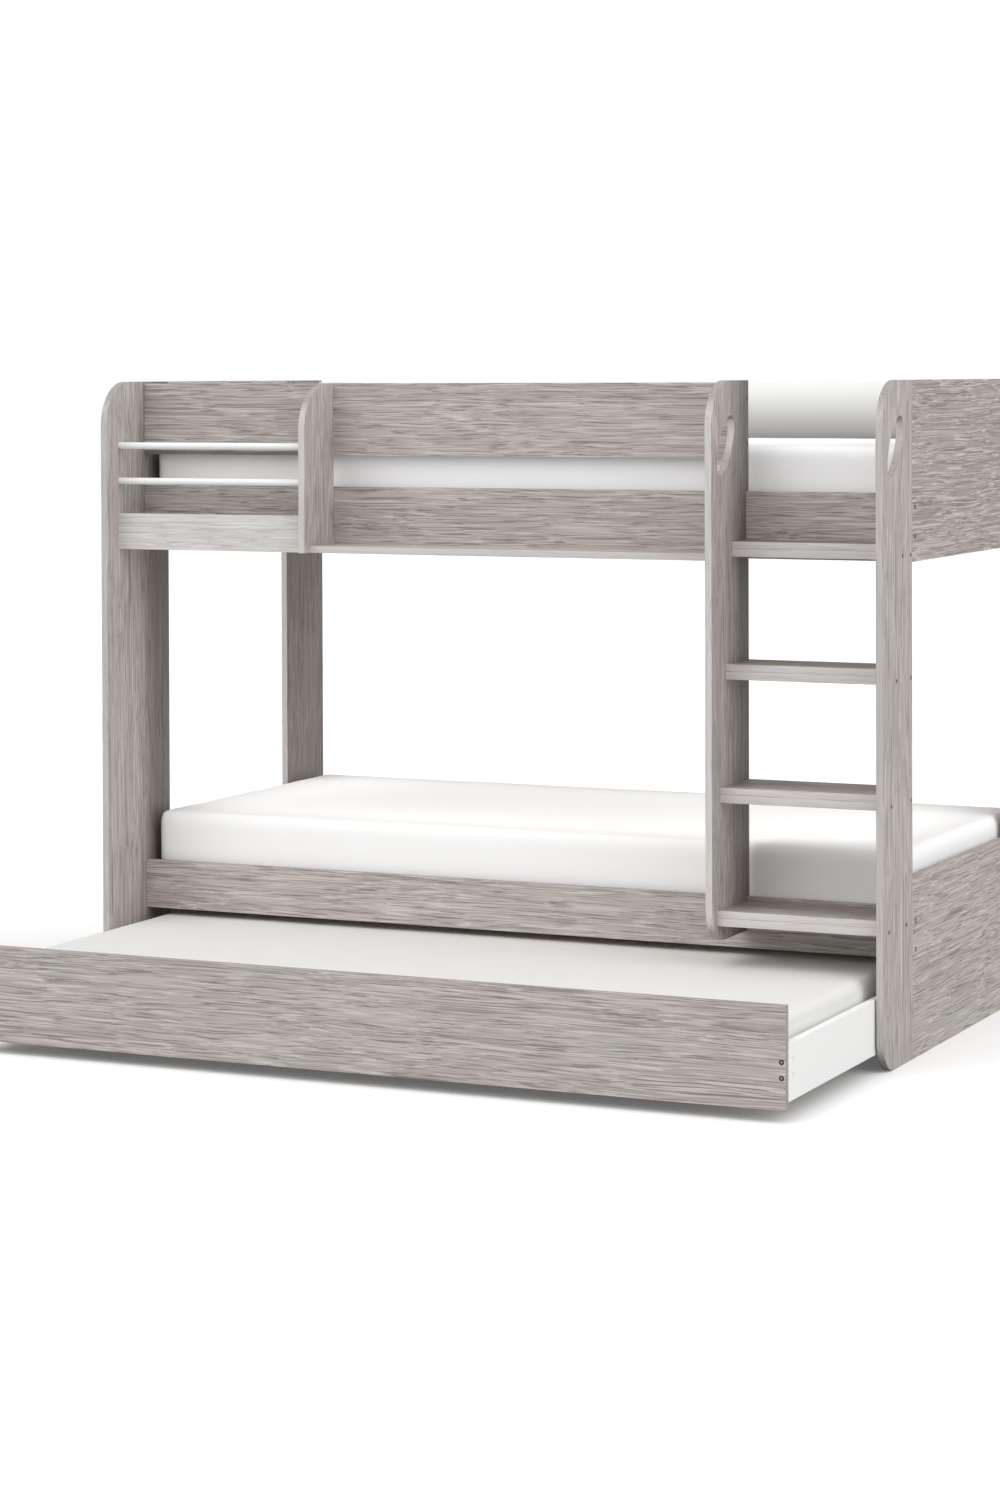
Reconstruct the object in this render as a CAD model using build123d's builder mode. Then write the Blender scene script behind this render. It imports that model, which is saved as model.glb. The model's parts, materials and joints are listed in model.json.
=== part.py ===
from build123d import *
import os

# Bunk bed of laminated board, with a ladder, a book pocket on the front of the top bunk, and a
# trundle bed on castors that rolls out from under the lower bunk. Sizes are millimetres. X runs
# along the bed, Y from its front to its back and Z up. The origin is on the floor, midway along
# the bed and midway between the pulled-out trundle's front and the bed's back.

# Boards and mattresses
board = 16
mattress_length = 1900
mattress_width = 900
mattress_height = 160
mattress_side_gap = 2
mattress_end_gap = 9

# Ends of the bed
end_height = 1486
left_leg_reach = 178
left_leg_depth = 294
leg_depth = 203
leg_to_rail = 13
lower_panel_height = 401
upper_panel_height = 398
top_round = 105
foot_round = 72

# Rails and guards
upper_rail_height = 150
lower_rail_bottom = 217
lower_rail_height = 115
guard_height = 170
guard_top_drop = 5

# Ladder
ladder_width = 374
stile_foot_height = 256
tread_base_thickness = 18
lowest_tread_joint = 310
highest_tread_rise = 26
lowest_tread_setback = 30
highest_tread_setback = 127
tread_setback_shares = (0, 0.2, 0.56, 1)
hand_hole_length = 153
hand_hole_width = 73
hand_hole_tilt = 35.5
hand_hole_setback = 88.5
hand_hole_drop = 143

# Book pocket and ledge
pocket_length = 496
divider_reach = 150
divider_top_drop = 10
ledge_depth = 125
lip_height = 85
rod_diameter = 16
upper_rod_drop = 152
rod_pitch = 84
rod_socket_depth = 7
rod_play = 0.05

# Slatted bases
upper_mattress_rise = 92
lower_mattress_rise = 71
cleat_side = 30
cleat_end_gap = 60
slat_thickness = 15
slat_width = 70
slat_count = 14
slat_end_play = 2

# Trundle
trundle_pull = 760
trundle_end_gap = 3
trundle_front_bottom = 27
trundle_front_height = 212
trundle_side_bottom = 42
trundle_side_height = 118
trundle_side_setin = 1
trundle_depth = 932
trundle_cleat_depth = 22
trundle_cleat_height = 26
trundle_slat_thickness = 12
trundle_slat_width = 60
trundle_slat_count = 13
trundle_mattress_height = 100
trundle_mattress_end_gap = 4
cross_rail_width = 90

# Castors
castor_height = 62
wheel_diameter = 50
wheel_width = 18
wheel_side_play = 1
axle_diameter = 6
axle_play = 0.05
axle_proud = 1.5
bracket_sheet = 2.5
bracket_plate_length = 60
bracket_plate_width = 48
cheek_foot_radius = 10
castor_end_inset = 170
castor_front_inset = 160

# Mattress forms: each section's height, as a share of the mattress's height, and how far it is
# drawn in, as a share of the edge's softness
mattress_corner_radius = 45
mattress_edge_softness = 14
section_height_shares = (0, 0.1, 0.9, 0.97, 1)
section_draw_shares = (0.9, 0, 0.1, 0.9, 5)

# Fasteners and axles. They are small, so they and their holes have few sides.
head_sides = 8
shank_sides = 6
socket_sides = 12
fastener_play = 0.1
bolt_diameter = 6
bolt_head_diameter = 12
bolt_head_height = 4
nut_diameter = 10
nut_setback = 33
nut_cover = 2
rail_bolt_drop = 30
rail_bolt_spacing = 64
guard_screw_inset = 35
trundle_bolt_drop = 35
trundle_bolt_spacing = 32
screw_diameter = 6
screw_head_diameter = 10
screw_head_height = 4
screw_length = 50
tread_screw_setback = 9
tread_rear_screw_inset = 23
lowest_rear_screw_inset = 57
stile_screw_inset = 38
dowel_diameter = 8
dowel_length = 30
dowel_height_shares = (0.2, 0.8)
lip_dowel_depth = 12
shelf_screw_shares = (0.2, 0.8)
ledge_screw_shares = (0.1, 0.5, 0.9)

# Places along the bed
bed_length = mattress_length + 2 * (mattress_end_gap + board)
left, right = -bed_length / 2, bed_length / 2
inner_left, inner_right = left + board, right - board
stile_x = (inner_right - ladder_width - board, inner_right - ladder_width)
pocket_x = (inner_left, inner_left + pocket_length)
divider_x = (pocket_x[1], pocket_x[1] + board)
ledge_x = (divider_x[1], stile_x[0])

# Places from front to back
frame_depth = mattress_width + 2 * (mattress_side_gap + board)
rail_front = (trundle_pull + board - frame_depth) / 2
front_rail_y = (rail_front, rail_front + board)
rear_rail_y = (rail_front + frame_depth - board, rail_front + frame_depth)
bed_back = rear_rail_y[1]
left_leg_y = (rail_front - left_leg_reach, rail_front - left_leg_reach + left_leg_depth)
right_leg_y = (rail_front - leg_to_rail - leg_depth, rail_front - leg_to_rail)
rear_leg_y = (bed_back - leg_depth, bed_back)
ledge_y = (rail_front - ledge_depth, rail_front)
lip_y = (ledge_y[0], ledge_y[0] + board)

# Levels
upper_rail_bottom = end_height - upper_panel_height
upper_rail_z = (upper_rail_bottom, upper_rail_bottom + upper_rail_height)
lower_rail_z = (lower_rail_bottom, lower_rail_bottom + lower_rail_height)
guard_z = (end_height - guard_top_drop - guard_height, end_height - guard_top_drop)
upper_panel_z = (upper_rail_bottom, end_height)
lower_panel_z = (0, lower_panel_height)
ledge_z = (upper_rail_bottom, upper_rail_bottom + board)
lip_z = (upper_rail_bottom, upper_rail_bottom + lip_height)
divider_z = (upper_rail_bottom, end_height - divider_top_drop)

os.makedirs("parts", exist_ok=True)


def middle(span):
    """Returns the middle of a span."""
    return (span[0] + span[1]) / 2


def length(span):
    """Returns the length of a span."""
    return span[1] - span[0]


def part_way(span, share):
    """Returns the place that lies a share of the way along a span."""
    return span[0] + share * length(span)


def keep(piece, name):
    """Labels a finished piece and writes its STEP file."""
    piece.part.label = name
    export_step(piece.part, f"parts/{name}.step")


def block(x, y, z, mode=Mode.ADD):
    """Puts a square-edged block over the spans x, y and z into the open part."""
    with Locations((middle(x), middle(y), middle(z))):
        Box(length(x), length(y), length(z), mode=mode)


def upright(x, y, z, foot_radius=0):
    """Puts an upright board into the open part, rounded at its front top and front foot."""
    with BuildSketch(Plane.YZ.offset(x)) as outline:
        with Locations((middle(y), middle(z))):
            Rectangle(length(y), length(z))
        front_corners = outline.vertices().group_by(Axis.X)[0].sort_by(Axis.Y)
        fillet(front_corners[1], radius=top_round)
        if foot_radius:
            front_corners = outline.vertices().group_by(Axis.X)[0].sort_by(Axis.Y)
            fillet(front_corners[0], radius=foot_radius)
    extrude(to_extrude=outline.sketch, amount=board)


def hand_hole(x, front):
    """Cuts the slanted oval hand hole through the upright board that starts at x."""
    with BuildSketch(Plane.YZ.offset(x)) as oval:
        with Locations((front + hand_hole_setback, end_height - hand_hole_drop)):
            Ellipse(hand_hole_length / 2, hand_hole_width / 2, rotation=90 - hand_hole_tilt)
    extrude(to_extrude=oval.sketch, amount=board, mode=Mode.SUBTRACT)


def cut_at(tool, seats):
    """Cuts the tool's shape out of the open part at each seat."""
    with Locations(*seats):
        add(tool.part, mode=Mode.SUBTRACT)


def headed_pin(head, head_height, shank, pin_length, sides, play=0):
    """Makes a fastener with its flush head at the origin, or the room that it needs."""
    with BuildPart() as pin:
        with BuildSketch():
            RegularPolygon(head / 2 + play, sides, major_radius=not play)
        extrude(amount=-head_height)
        with BuildSketch(Plane.XY.offset(-head_height)):
            RegularPolygon(shank / 2 + play, shank_sides, major_radius=not play)
        extrude(amount=head_height - pin_length - play)
    return pin


def barrel_nut(play=0):
    """Makes a barrel nut sunk below the origin, its thread along X, or the room for it."""
    with BuildPart() as nut:
        with BuildSketch():
            RegularPolygon(nut_diameter / 2 + play, head_sides, major_radius=not play)
        extrude(amount=nut_cover - board)
        if not play:
            with BuildSketch(Plane.YZ):
                with Locations((0, -board / 2)):
                    RegularPolygon(
                        bolt_diameter / 2 + fastener_play, shank_sides, major_radius=False
                    )
            extrude(amount=nut_diameter, both=True, mode=Mode.SUBTRACT)
    return nut


def dowel_pin(play=0):
    """Makes a dowel along Z, centred on the origin, or the room that it needs."""
    with BuildPart() as pin:
        with BuildSketch(Plane.XY.offset(-dowel_length / 2 - play)):
            RegularPolygon(dowel_diameter / 2 + play, head_sides, major_radius=not play)
        extrude(amount=dowel_length + 2 * play)
    return pin


# The fasteners and the rooms that the boards have for them
bolt_length = board + nut_setback + nut_diameter
bolt_sizes = (bolt_head_diameter, bolt_head_height, bolt_diameter, bolt_length, head_sides)
screw_sizes = (screw_head_diameter, screw_head_height, screw_diameter, screw_length, shank_sides)
bolt, bolt_room = headed_pin(*bolt_sizes), headed_pin(*bolt_sizes, fastener_play)
screw, screw_room = headed_pin(*screw_sizes), headed_pin(*screw_sizes, fastener_play)
nut, nut_room = barrel_nut(), barrel_nut(fastener_play)
dowel, dowel_room = dowel_pin(), dowel_pin(fastener_play)

TO_LEFT, TO_RIGHT = (-1, 0, 0), (1, 0, 0)
TO_FRONT, TO_BACK = (0, -1, 0), (0, 1, 0)


def pair_below(top, drop, spacing):
    """Returns two levels, the upper one a drop below the top."""
    return (top - drop, top - drop - spacing)


def end_seats(x, facing, y, levels):
    """Returns the seats of the fasteners that hold a rail's end through the board at x."""
    return [Plane(origin=(x, middle(y), z), z_dir=facing) for z in levels]


def rail_nut_seats(seats, y):
    """Returns the seats of the barrel nuts in the rail's inner face, behind its bolts."""
    reach = board + nut_setback
    nut_places = [seat.origin - seat.z_dir * reach for seat in seats]
    return [Plane(origin=(p.X, y, p.Z), x_dir=TO_RIGHT, z_dir=TO_BACK) for p in nut_places]


# Where the rails' bolts and barrel nuts sit, and the guards' screws
upper_levels = pair_below(upper_rail_z[1], rail_bolt_drop, rail_bolt_spacing)
lower_levels = pair_below(lower_rail_z[1], rail_bolt_drop, rail_bolt_spacing)
guard_levels = (guard_z[0] + guard_screw_inset, guard_z[1] - guard_screw_inset)
rail_heights = {"upper": (upper_rail_z, upper_levels), "lower": (lower_rail_z, lower_levels)}
rail_depths = {"front": (front_rail_y, front_rail_y[1]), "rear": (rear_rail_y, rear_rail_y[1])}

left_bolts, right_bolts, rail_nuts = {}, {}, {}
for level_name, (rail_z, levels) in rail_heights.items():
    for side, (rail_y, nut_face) in rail_depths.items():
        name = f"{level_name}_{side}_rail"
        left_bolts[name] = end_seats(left, TO_LEFT, rail_y, levels)
        right_bolts[name] = end_seats(right, TO_RIGHT, rail_y, levels)
        rail_nuts[name] = rail_nut_seats(left_bolts[name] + right_bolts[name], nut_face)

guard_screws = {
    "front_left": end_seats(left, TO_LEFT, front_rail_y, guard_levels),
    "front_right": end_seats(stile_x[1], TO_RIGHT, front_rail_y, guard_levels),
    "rear_left": end_seats(left, TO_LEFT, rear_rail_y, guard_levels),
    "rear_right": end_seats(right, TO_RIGHT, rear_rail_y, guard_levels),
}

# Where the treads are, from the lowest up, and the screws that hold their lower boards
tread_x = (stile_x[1], inner_right)
tread_span = (lowest_tread_joint, upper_rail_bottom + highest_tread_rise)
last_step = len(tread_setback_shares) - 1
tread_joints = [part_way(tread_span, step / last_step) for step in range(last_step + 1)]
tread_y, tread_screws = [], []
for step, share in enumerate(tread_setback_shares):
    meets_rail = step in (0, last_step)
    front = right_leg_y[0] + part_way((lowest_tread_setback, highest_tread_setback), share)
    tread_y.append((front, front_rail_y[0] if meets_rail else front_rail_y[1]))
    rear_inset = lowest_rear_screw_inset if step == 0 else tread_rear_screw_inset
    screw_z = tread_joints[step] - tread_base_thickness / 2
    for screw_y in (front + tread_screw_setback, rail_front - rear_inset):
        tread_screws.append(
            (
                Plane(origin=(stile_x[0], screw_y, screw_z), z_dir=TO_LEFT),
                Plane(origin=(right, screw_y, screw_z), z_dir=TO_RIGHT),
            )
        )
stile_tread_screws = [pair[0] for pair in tread_screws]
leg_tread_screws = [pair[1] for pair in tread_screws]

# Screws driven from inside the bunks, through the front rails and the guard
rail_back = front_rail_y[1]
stile_screw_places = [
    (middle(stile_x), upper_rail_z[0] + stile_screw_inset),
    (middle(stile_x), upper_rail_z[1] - stile_screw_inset),
    (middle(stile_x), lower_rail_z[1] - stile_screw_inset),
]
divider_screw_places = [(middle(divider_x), middle(upper_rail_z)), (middle(divider_x), middle(guard_z))]
ledge_screw_places = [(part_way(pocket_x, share), middle(ledge_z)) for share in shelf_screw_shares]
ledge_screw_places += [(part_way(ledge_x, share), middle(ledge_z)) for share in ledge_screw_shares]
inside_screws = [
    Plane(origin=(x, rail_back, z), z_dir=TO_BACK)
    for x, z in stile_screw_places + divider_screw_places + ledge_screw_places
]

# Dowels between the end panels and the legs, and at the ends of the pocket's lip
end_joints = []
for end_x, panel_front in ((left + board / 2, left_leg_y[1]), (right - board / 2, right_leg_y[1])):
    for panel_z in (upper_panel_z, lower_panel_z):
        for joint_y in (panel_front, rear_leg_y[0]):
            for share in dowel_height_shares:
                end_joints.append((end_x, joint_y, part_way(panel_z, share)))
end_dowels = [Plane(origin=place, z_dir=TO_BACK) for place in end_joints]
lip_dowel_shift = dowel_length / 2 - lip_dowel_depth
lip_dowels = [
    Plane(origin=(x, middle(lip_y), middle(lip_z)), z_dir=TO_RIGHT)
    for x in (pocket_x[0] + lip_dowel_shift, pocket_x[1] - lip_dowel_shift)
]

# Rods across the front of the book pocket
rod_levels = (end_height - upper_rod_drop - rod_pitch, end_height - upper_rod_drop)


def rod_sockets(x, depth):
    """Cuts the blind sockets of both rods, from the board's face at x."""
    for z in rod_levels:
        with BuildSketch(Plane.YZ.offset(x)) as mouth:
            with Locations((middle(lip_y), z)):
                RegularPolygon(rod_diameter / 2 + rod_play, socket_sides, major_radius=False)
        extrude(to_extrude=mouth.sketch, amount=depth, mode=Mode.SUBTRACT)


# Legs
with BuildPart() as left_front_leg:
    upright(left, left_leg_y, (0, end_height), foot_round)
    rod_sockets(inner_left, -rod_socket_depth)
    cut_at(bolt_room, left_bolts["upper_front_rail"] + left_bolts["lower_front_rail"])
    cut_at(screw_room, guard_screws["front_left"])
    cut_at(dowel_room, end_dowels + lip_dowels)
keep(left_front_leg, "left_front_leg")

with BuildPart() as right_front_leg:
    upright(inner_right, right_leg_y, (0, end_height), foot_round)
    hand_hole(inner_right, right_leg_y[0])
    cut_at(screw_room, leg_tread_screws)
    cut_at(dowel_room, end_dowels)
keep(right_front_leg, "right_front_leg")

for side, leg_x, seats in (
    ("left", (left, inner_left), left_bolts),
    ("right", (inner_right, right), right_bolts),
):
    with BuildPart() as rear_leg:
        block(leg_x, rear_leg_y, (0, end_height))
        cut_at(bolt_room, seats["upper_rear_rail"] + seats["lower_rear_rail"])
        cut_at(screw_room, guard_screws[f"rear_{side}"])
        cut_at(dowel_room, end_dowels)
    keep(rear_leg, f"{side}_rear_leg")

# End panels, flush with the legs
for side, panel_x, panel_front in (
    ("left", (left, inner_left), left_leg_y[1]),
    ("right", (inner_right, right), right_leg_y[1]),
):
    for level_name, panel_z in (("upper", upper_panel_z), ("lower", lower_panel_z)):
        with BuildPart() as end_panel:
            block(panel_x, (panel_front, rear_leg_y[0]), panel_z)
            cut_at(dowel_room, end_dowels)
            if side == "right":
                cut_at(bolt_room, right_bolts[f"{level_name}_front_rail"])
        keep(end_panel, f"{side}_{level_name}_end_panel")

# Rails between the ends
for level_name, (rail_z, levels) in rail_heights.items():
    for side, (rail_y, nut_face) in rail_depths.items():
        name = f"{level_name}_{side}_rail"
        with BuildPart() as rail:
            block((inner_left, inner_right), rail_y, rail_z)
            cut_at(bolt_room, left_bolts[name] + right_bolts[name])
            cut_at(nut_room, rail_nuts[name])
            if side == "front":
                cut_at(screw_room, inside_screws)
        keep(rail, name)

# Guards above the rails
with BuildPart() as front_guard_rail:
    block((inner_left, stile_x[0]), front_rail_y, guard_z)
    cut_at(screw_room, guard_screws["front_left"] + guard_screws["front_right"] + inside_screws)
keep(front_guard_rail, "front_guard_rail")

with BuildPart() as rear_guard_board:
    block((inner_left, inner_right), rear_rail_y, guard_z)
    cut_at(screw_room, guard_screws["rear_left"] + guard_screws["rear_right"])
keep(rear_guard_board, "rear_guard_board")

# Book pocket and ledge on the front of the upper rail
with BuildPart() as pocket_divider:
    upright(divider_x[0], (rail_front - divider_reach, rail_front), divider_z)
    rod_sockets(divider_x[0], rod_socket_depth)
    cut_at(screw_room, inside_screws)
    cut_at(dowel_room, lip_dowels)
keep(pocket_divider, "pocket_divider")

with BuildPart() as pocket_shelf:
    block(pocket_x, (lip_y[1], rail_front), ledge_z)
    cut_at(screw_room, inside_screws)
keep(pocket_shelf, "pocket_shelf")

with BuildPart() as pocket_lip:
    block(pocket_x, lip_y, lip_z)
    cut_at(dowel_room, lip_dowels)
keep(pocket_lip, "pocket_lip")

with BuildPart() as ledge_board:
    block(ledge_x, ledge_y, ledge_z)
    cut_at(screw_room, inside_screws)
keep(ledge_board, "ledge_board")

for rod_name, z in zip(("lower", "upper"), rod_levels):
    with BuildPart() as rod:
        with BuildSketch(Plane.YZ.offset(pocket_x[0] - rod_socket_depth)):
            with Locations((middle(lip_y), z)):
                Circle(rod_diameter / 2)
        extrude(amount=pocket_length + 2 * rod_socket_depth)
    keep(rod, f"{rod_name}_pocket_rod")

# Ladder stile, notched over the upper rail and cut away over the lower one
with BuildPart() as ladder_stile:
    upright(stile_x[0], (right_leg_y[0], rail_back), (stile_foot_height, end_height), foot_round)
    block(stile_x, front_rail_y, upper_rail_z, Mode.SUBTRACT)
    block(stile_x, front_rail_y, (stile_foot_height, lower_rail_z[1]), Mode.SUBTRACT)
    hand_hole(stile_x[0], right_leg_y[0])
    cut_at(screw_room, stile_tread_screws + inside_screws + guard_screws["front_right"])
keep(ladder_stile, "ladder_stile")

# Treads, each an upper board laid on a thicker lower one
for step, (joint_z, y) in enumerate(zip(tread_joints, tread_y), start=1):
    with BuildPart() as tread:
        block(tread_x, y, (joint_z, joint_z + board))
    keep(tread, f"ladder_tread_{step}")
    with BuildPart() as tread_base:
        block(tread_x, y, (joint_z - tread_base_thickness, joint_z))
        cut_at(screw_room, stile_tread_screws + leg_tread_screws)
    keep(tread_base, f"tread_base_{step}")


def soft_block(x, y, z):
    """Makes a mattress: soft edges, sides drawn in at top and foot, and a low crown."""
    with BuildPart() as pad:
        for height_share, draw_share in zip(section_height_shares, section_draw_shares):
            draw = draw_share * mattress_edge_softness
            with BuildSketch(Plane.XY.offset(part_way(z, height_share))):
                with Locations((middle(x), middle(y))):
                    RectangleRounded(
                        length(x) - 2 * draw, length(y) - 2 * draw, mattress_corner_radius
                    )
        loft(ruled=True)
    return pad


def slat_row(count, width, x, y, z):
    """Makes a row of slats, evenly spaced along x, from one end of it to the other."""
    with BuildPart() as slats:
        pitch = (length(x) - width) / (count - 1)
        with Locations((middle(x), middle(y), middle(z))):
            with GridLocations(pitch, 0, count, 1):
                Box(width, length(y), length(z))
    return slats


# Slatted bases on their cleats, and the mattresses
inner_y = (front_rail_y[1], rear_rail_y[0])
cleat_x = (inner_left + cleat_end_gap, inner_right - cleat_end_gap)
slat_y = (inner_y[0] + slat_end_play, inner_y[1] - slat_end_play)
mattress_x = (inner_left + mattress_end_gap, inner_right - mattress_end_gap)
mattress_y = (inner_y[0] + mattress_side_gap, inner_y[1] - mattress_side_gap)
mattress_rises = {"upper": upper_mattress_rise, "lower": lower_mattress_rise}
for level_name, (rail_z, levels) in rail_heights.items():
    mattress_base = rail_z[0] + mattress_rises[level_name]
    cleat_top = mattress_base - slat_thickness
    for side, cleat_y in (
        ("front", (inner_y[0], inner_y[0] + cleat_side)),
        ("rear", (inner_y[1] - cleat_side, inner_y[1])),
    ):
        with BuildPart() as cleat:
            block(cleat_x, cleat_y, (cleat_top - cleat_side, cleat_top))
        keep(cleat, f"{level_name}_{side}_cleat")
    slats = slat_row(slat_count, slat_width, cleat_x, slat_y, (cleat_top, mattress_base))
    keep(slats, f"{level_name}_slats")
    mattress_z = (mattress_base, mattress_base + mattress_height)
    keep(soft_block(mattress_x, mattress_y, mattress_z), f"{level_name}_mattress")


def scatter(piece, seats, name):
    """Writes copies of one fastener, at its seats, as one node."""
    with BuildPart() as group:
        with Locations(*seats):
            add(piece.part)
    keep(group, name)


frame_bolts, frame_nuts = [], []
for name in rail_nuts:
    frame_bolts += left_bolts[name] + right_bolts[name]
    frame_nuts += rail_nuts[name]
connector_screws = stile_tread_screws + leg_tread_screws + inside_screws
for seats in guard_screws.values():
    connector_screws += seats
scatter(bolt, frame_bolts, "frame_bolts")
scatter(nut, frame_nuts, "frame_barrel_nuts")
scatter(screw, connector_screws, "connector_screws")
scatter(dowel, end_dowels + lip_dowels, "wooden_dowels")

# Trundle, pulled out by its full travel from where its front would meet the lower rail
trundle_x = (inner_left + trundle_end_gap, inner_right - trundle_end_gap)
box_x = (trundle_x[0] + trundle_side_setin, trundle_x[1] - trundle_side_setin)
box_inner_x = (box_x[0] + board, box_x[1] - board)
trundle_front = rail_front - board - trundle_pull
trundle_y = (trundle_front, trundle_front + trundle_depth)
box_inner_y = (trundle_y[0] + board, trundle_y[1] - board)
trundle_front_z = (trundle_front_bottom, trundle_front_bottom + trundle_front_height)
trundle_side_z = (trundle_side_bottom, trundle_side_bottom + trundle_side_height)
trundle_cleat_z = (castor_height, castor_height + trundle_cleat_height)

trundle_levels = pair_below(trundle_side_z[1], trundle_bolt_drop, trundle_bolt_spacing)
trundle_sides = {
    "left": ((box_x[0], box_inner_x[0]), box_x[0], TO_LEFT),
    "right": ((box_inner_x[1], box_x[1]), box_x[1], TO_RIGHT),
}
front_bolts, back_bolts, trundle_nuts = [], [], []
for side_x, outer_x, outward in trundle_sides.values():
    for z in trundle_levels:
        front_bolts.append(Plane(origin=(middle(side_x), trundle_y[0], z), z_dir=TO_FRONT))
        back_bolts.append(Plane(origin=(middle(side_x), trundle_y[1], z), z_dir=TO_BACK))
        for nut_y in (box_inner_y[0] + nut_setback, box_inner_y[1] - nut_setback):
            trundle_nuts.append(Plane(origin=(outer_x, nut_y, z), x_dir=TO_BACK, z_dir=outward))

with BuildPart() as trundle_front_board:
    block(trundle_x, (trundle_y[0], box_inner_y[0]), trundle_front_z)
    cut_at(bolt_room, front_bolts)
keep(trundle_front_board, "trundle_front")

with BuildPart() as trundle_back_board:
    block(box_x, (box_inner_y[1], trundle_y[1]), trundle_side_z)
    cut_at(bolt_room, back_bolts)
keep(trundle_back_board, "trundle_back")

for side, (side_x, outer_x, outward) in trundle_sides.items():
    with BuildPart() as trundle_side:
        block(side_x, box_inner_y, trundle_side_z)
        cut_at(bolt_room, front_bolts + back_bolts)
        cut_at(nut_room, trundle_nuts)
    keep(trundle_side, f"trundle_{side}_side")

scatter(bolt, front_bolts + back_bolts, "trundle_bolts")
scatter(nut, trundle_nuts, "trundle_barrel_nuts")

# Trundle base: cleats along its front and back, cross rails that carry the castors, and slats
for side, cleat_y in (
    ("front", (box_inner_y[0], box_inner_y[0] + trundle_cleat_depth)),
    ("back", (box_inner_y[1] - trundle_cleat_depth, box_inner_y[1])),
):
    with BuildPart() as trundle_cleat:
        block(box_inner_x, cleat_y, trundle_cleat_z)
    keep(trundle_cleat, f"trundle_{side}_cleat")

castor_xs = {"left": box_inner_x[0] + castor_end_inset, "right": box_inner_x[1] - castor_end_inset}
castor_ys = (box_inner_y[0] + castor_front_inset, box_inner_y[1] - castor_front_inset)
cross_rail_y = (box_inner_y[0] + trundle_cleat_depth, box_inner_y[1] - trundle_cleat_depth)
for side, x in castor_xs.items():
    with BuildPart() as cross_rail:
        block((x - cross_rail_width / 2, x + cross_rail_width / 2), cross_rail_y, trundle_cleat_z)
    keep(cross_rail, f"trundle_{side}_cross_rail")

trundle_mattress_base = trundle_cleat_z[1] + trundle_slat_thickness
trundle_slat_y = (box_inner_y[0] + slat_end_play, box_inner_y[1] - slat_end_play)
trundle_slat_z = (trundle_cleat_z[1], trundle_mattress_base)
trundle_slats = slat_row(
    trundle_slat_count, trundle_slat_width, box_inner_x, trundle_slat_y, trundle_slat_z
)
keep(trundle_slats, "trundle_slats")

trundle_mattress_x = (
    box_inner_x[0] + trundle_mattress_end_gap,
    box_inner_x[1] - trundle_mattress_end_gap,
)
trundle_mattress_z = (trundle_mattress_base, trundle_mattress_base + trundle_mattress_height)
keep(soft_block(trundle_mattress_x, trundle_slat_y, trundle_mattress_z), "trundle_mattress")

# Castors, each a pressed bracket round a wheel that turns on its axle
axle_z = wheel_diameter / 2
cheek_inner = wheel_width / 2 + wheel_side_play
plate_bottom = castor_height - bracket_sheet - axle_z
axle_room = axle_diameter / 2 + axle_play
with BuildPart() as bracket:
    for cheek_x in (cheek_inner, -cheek_inner - bracket_sheet):
        with BuildSketch(Plane.YZ.offset(cheek_x)):
            Circle(cheek_foot_radius)
            with Locations((0, plate_bottom - bracket_sheet / 2)):
                Rectangle(bracket_plate_length, bracket_sheet)
            make_hull()
            RegularPolygon(axle_room, head_sides, major_radius=False, mode=Mode.SUBTRACT)
        extrude(amount=bracket_sheet)
    with BuildSketch(Plane.XY.offset(plate_bottom)):
        Rectangle(bracket_plate_width, bracket_plate_length)
    extrude(amount=bracket_sheet)

with BuildPart() as axle:
    with BuildSketch(Plane.YZ):
        RegularPolygon(axle_diameter / 2, socket_sides)
    extrude(amount=cheek_inner + bracket_sheet + axle_proud, both=True)

castor_places = [(x, y, axle_z) for y in castor_ys for x in castor_xs.values()]
scatter(bracket, castor_places, "castor_brackets")
scatter(axle, castor_places, "castor_axles")

for number, place in enumerate(castor_places, start=1):
    with BuildPart() as castor_wheel:
        with BuildSketch(Plane(origin=place, z_dir=TO_RIGHT)):
            Circle(wheel_diameter / 2)
            RegularPolygon(axle_room, socket_sides, major_radius=False, mode=Mode.SUBTRACT)
        extrude(amount=wheel_width / 2, both=True)
    keep(castor_wheel, f"castor_wheel_{number}")
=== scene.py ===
"""The looks of a bunk bed with a trundle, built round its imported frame.

Each sub-assembly is a class that builds its meshes in metres, in the frame's own
coordinates: X along the bed, Y from its front to its back and Z up.
"""

from __future__ import annotations

import json
import logging
import math
from dataclasses import dataclass, replace
from enum import Enum
from functools import cache

import bmesh
import bpy
import numpy as np
from mathutils import Matrix, Vector, noise

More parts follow.
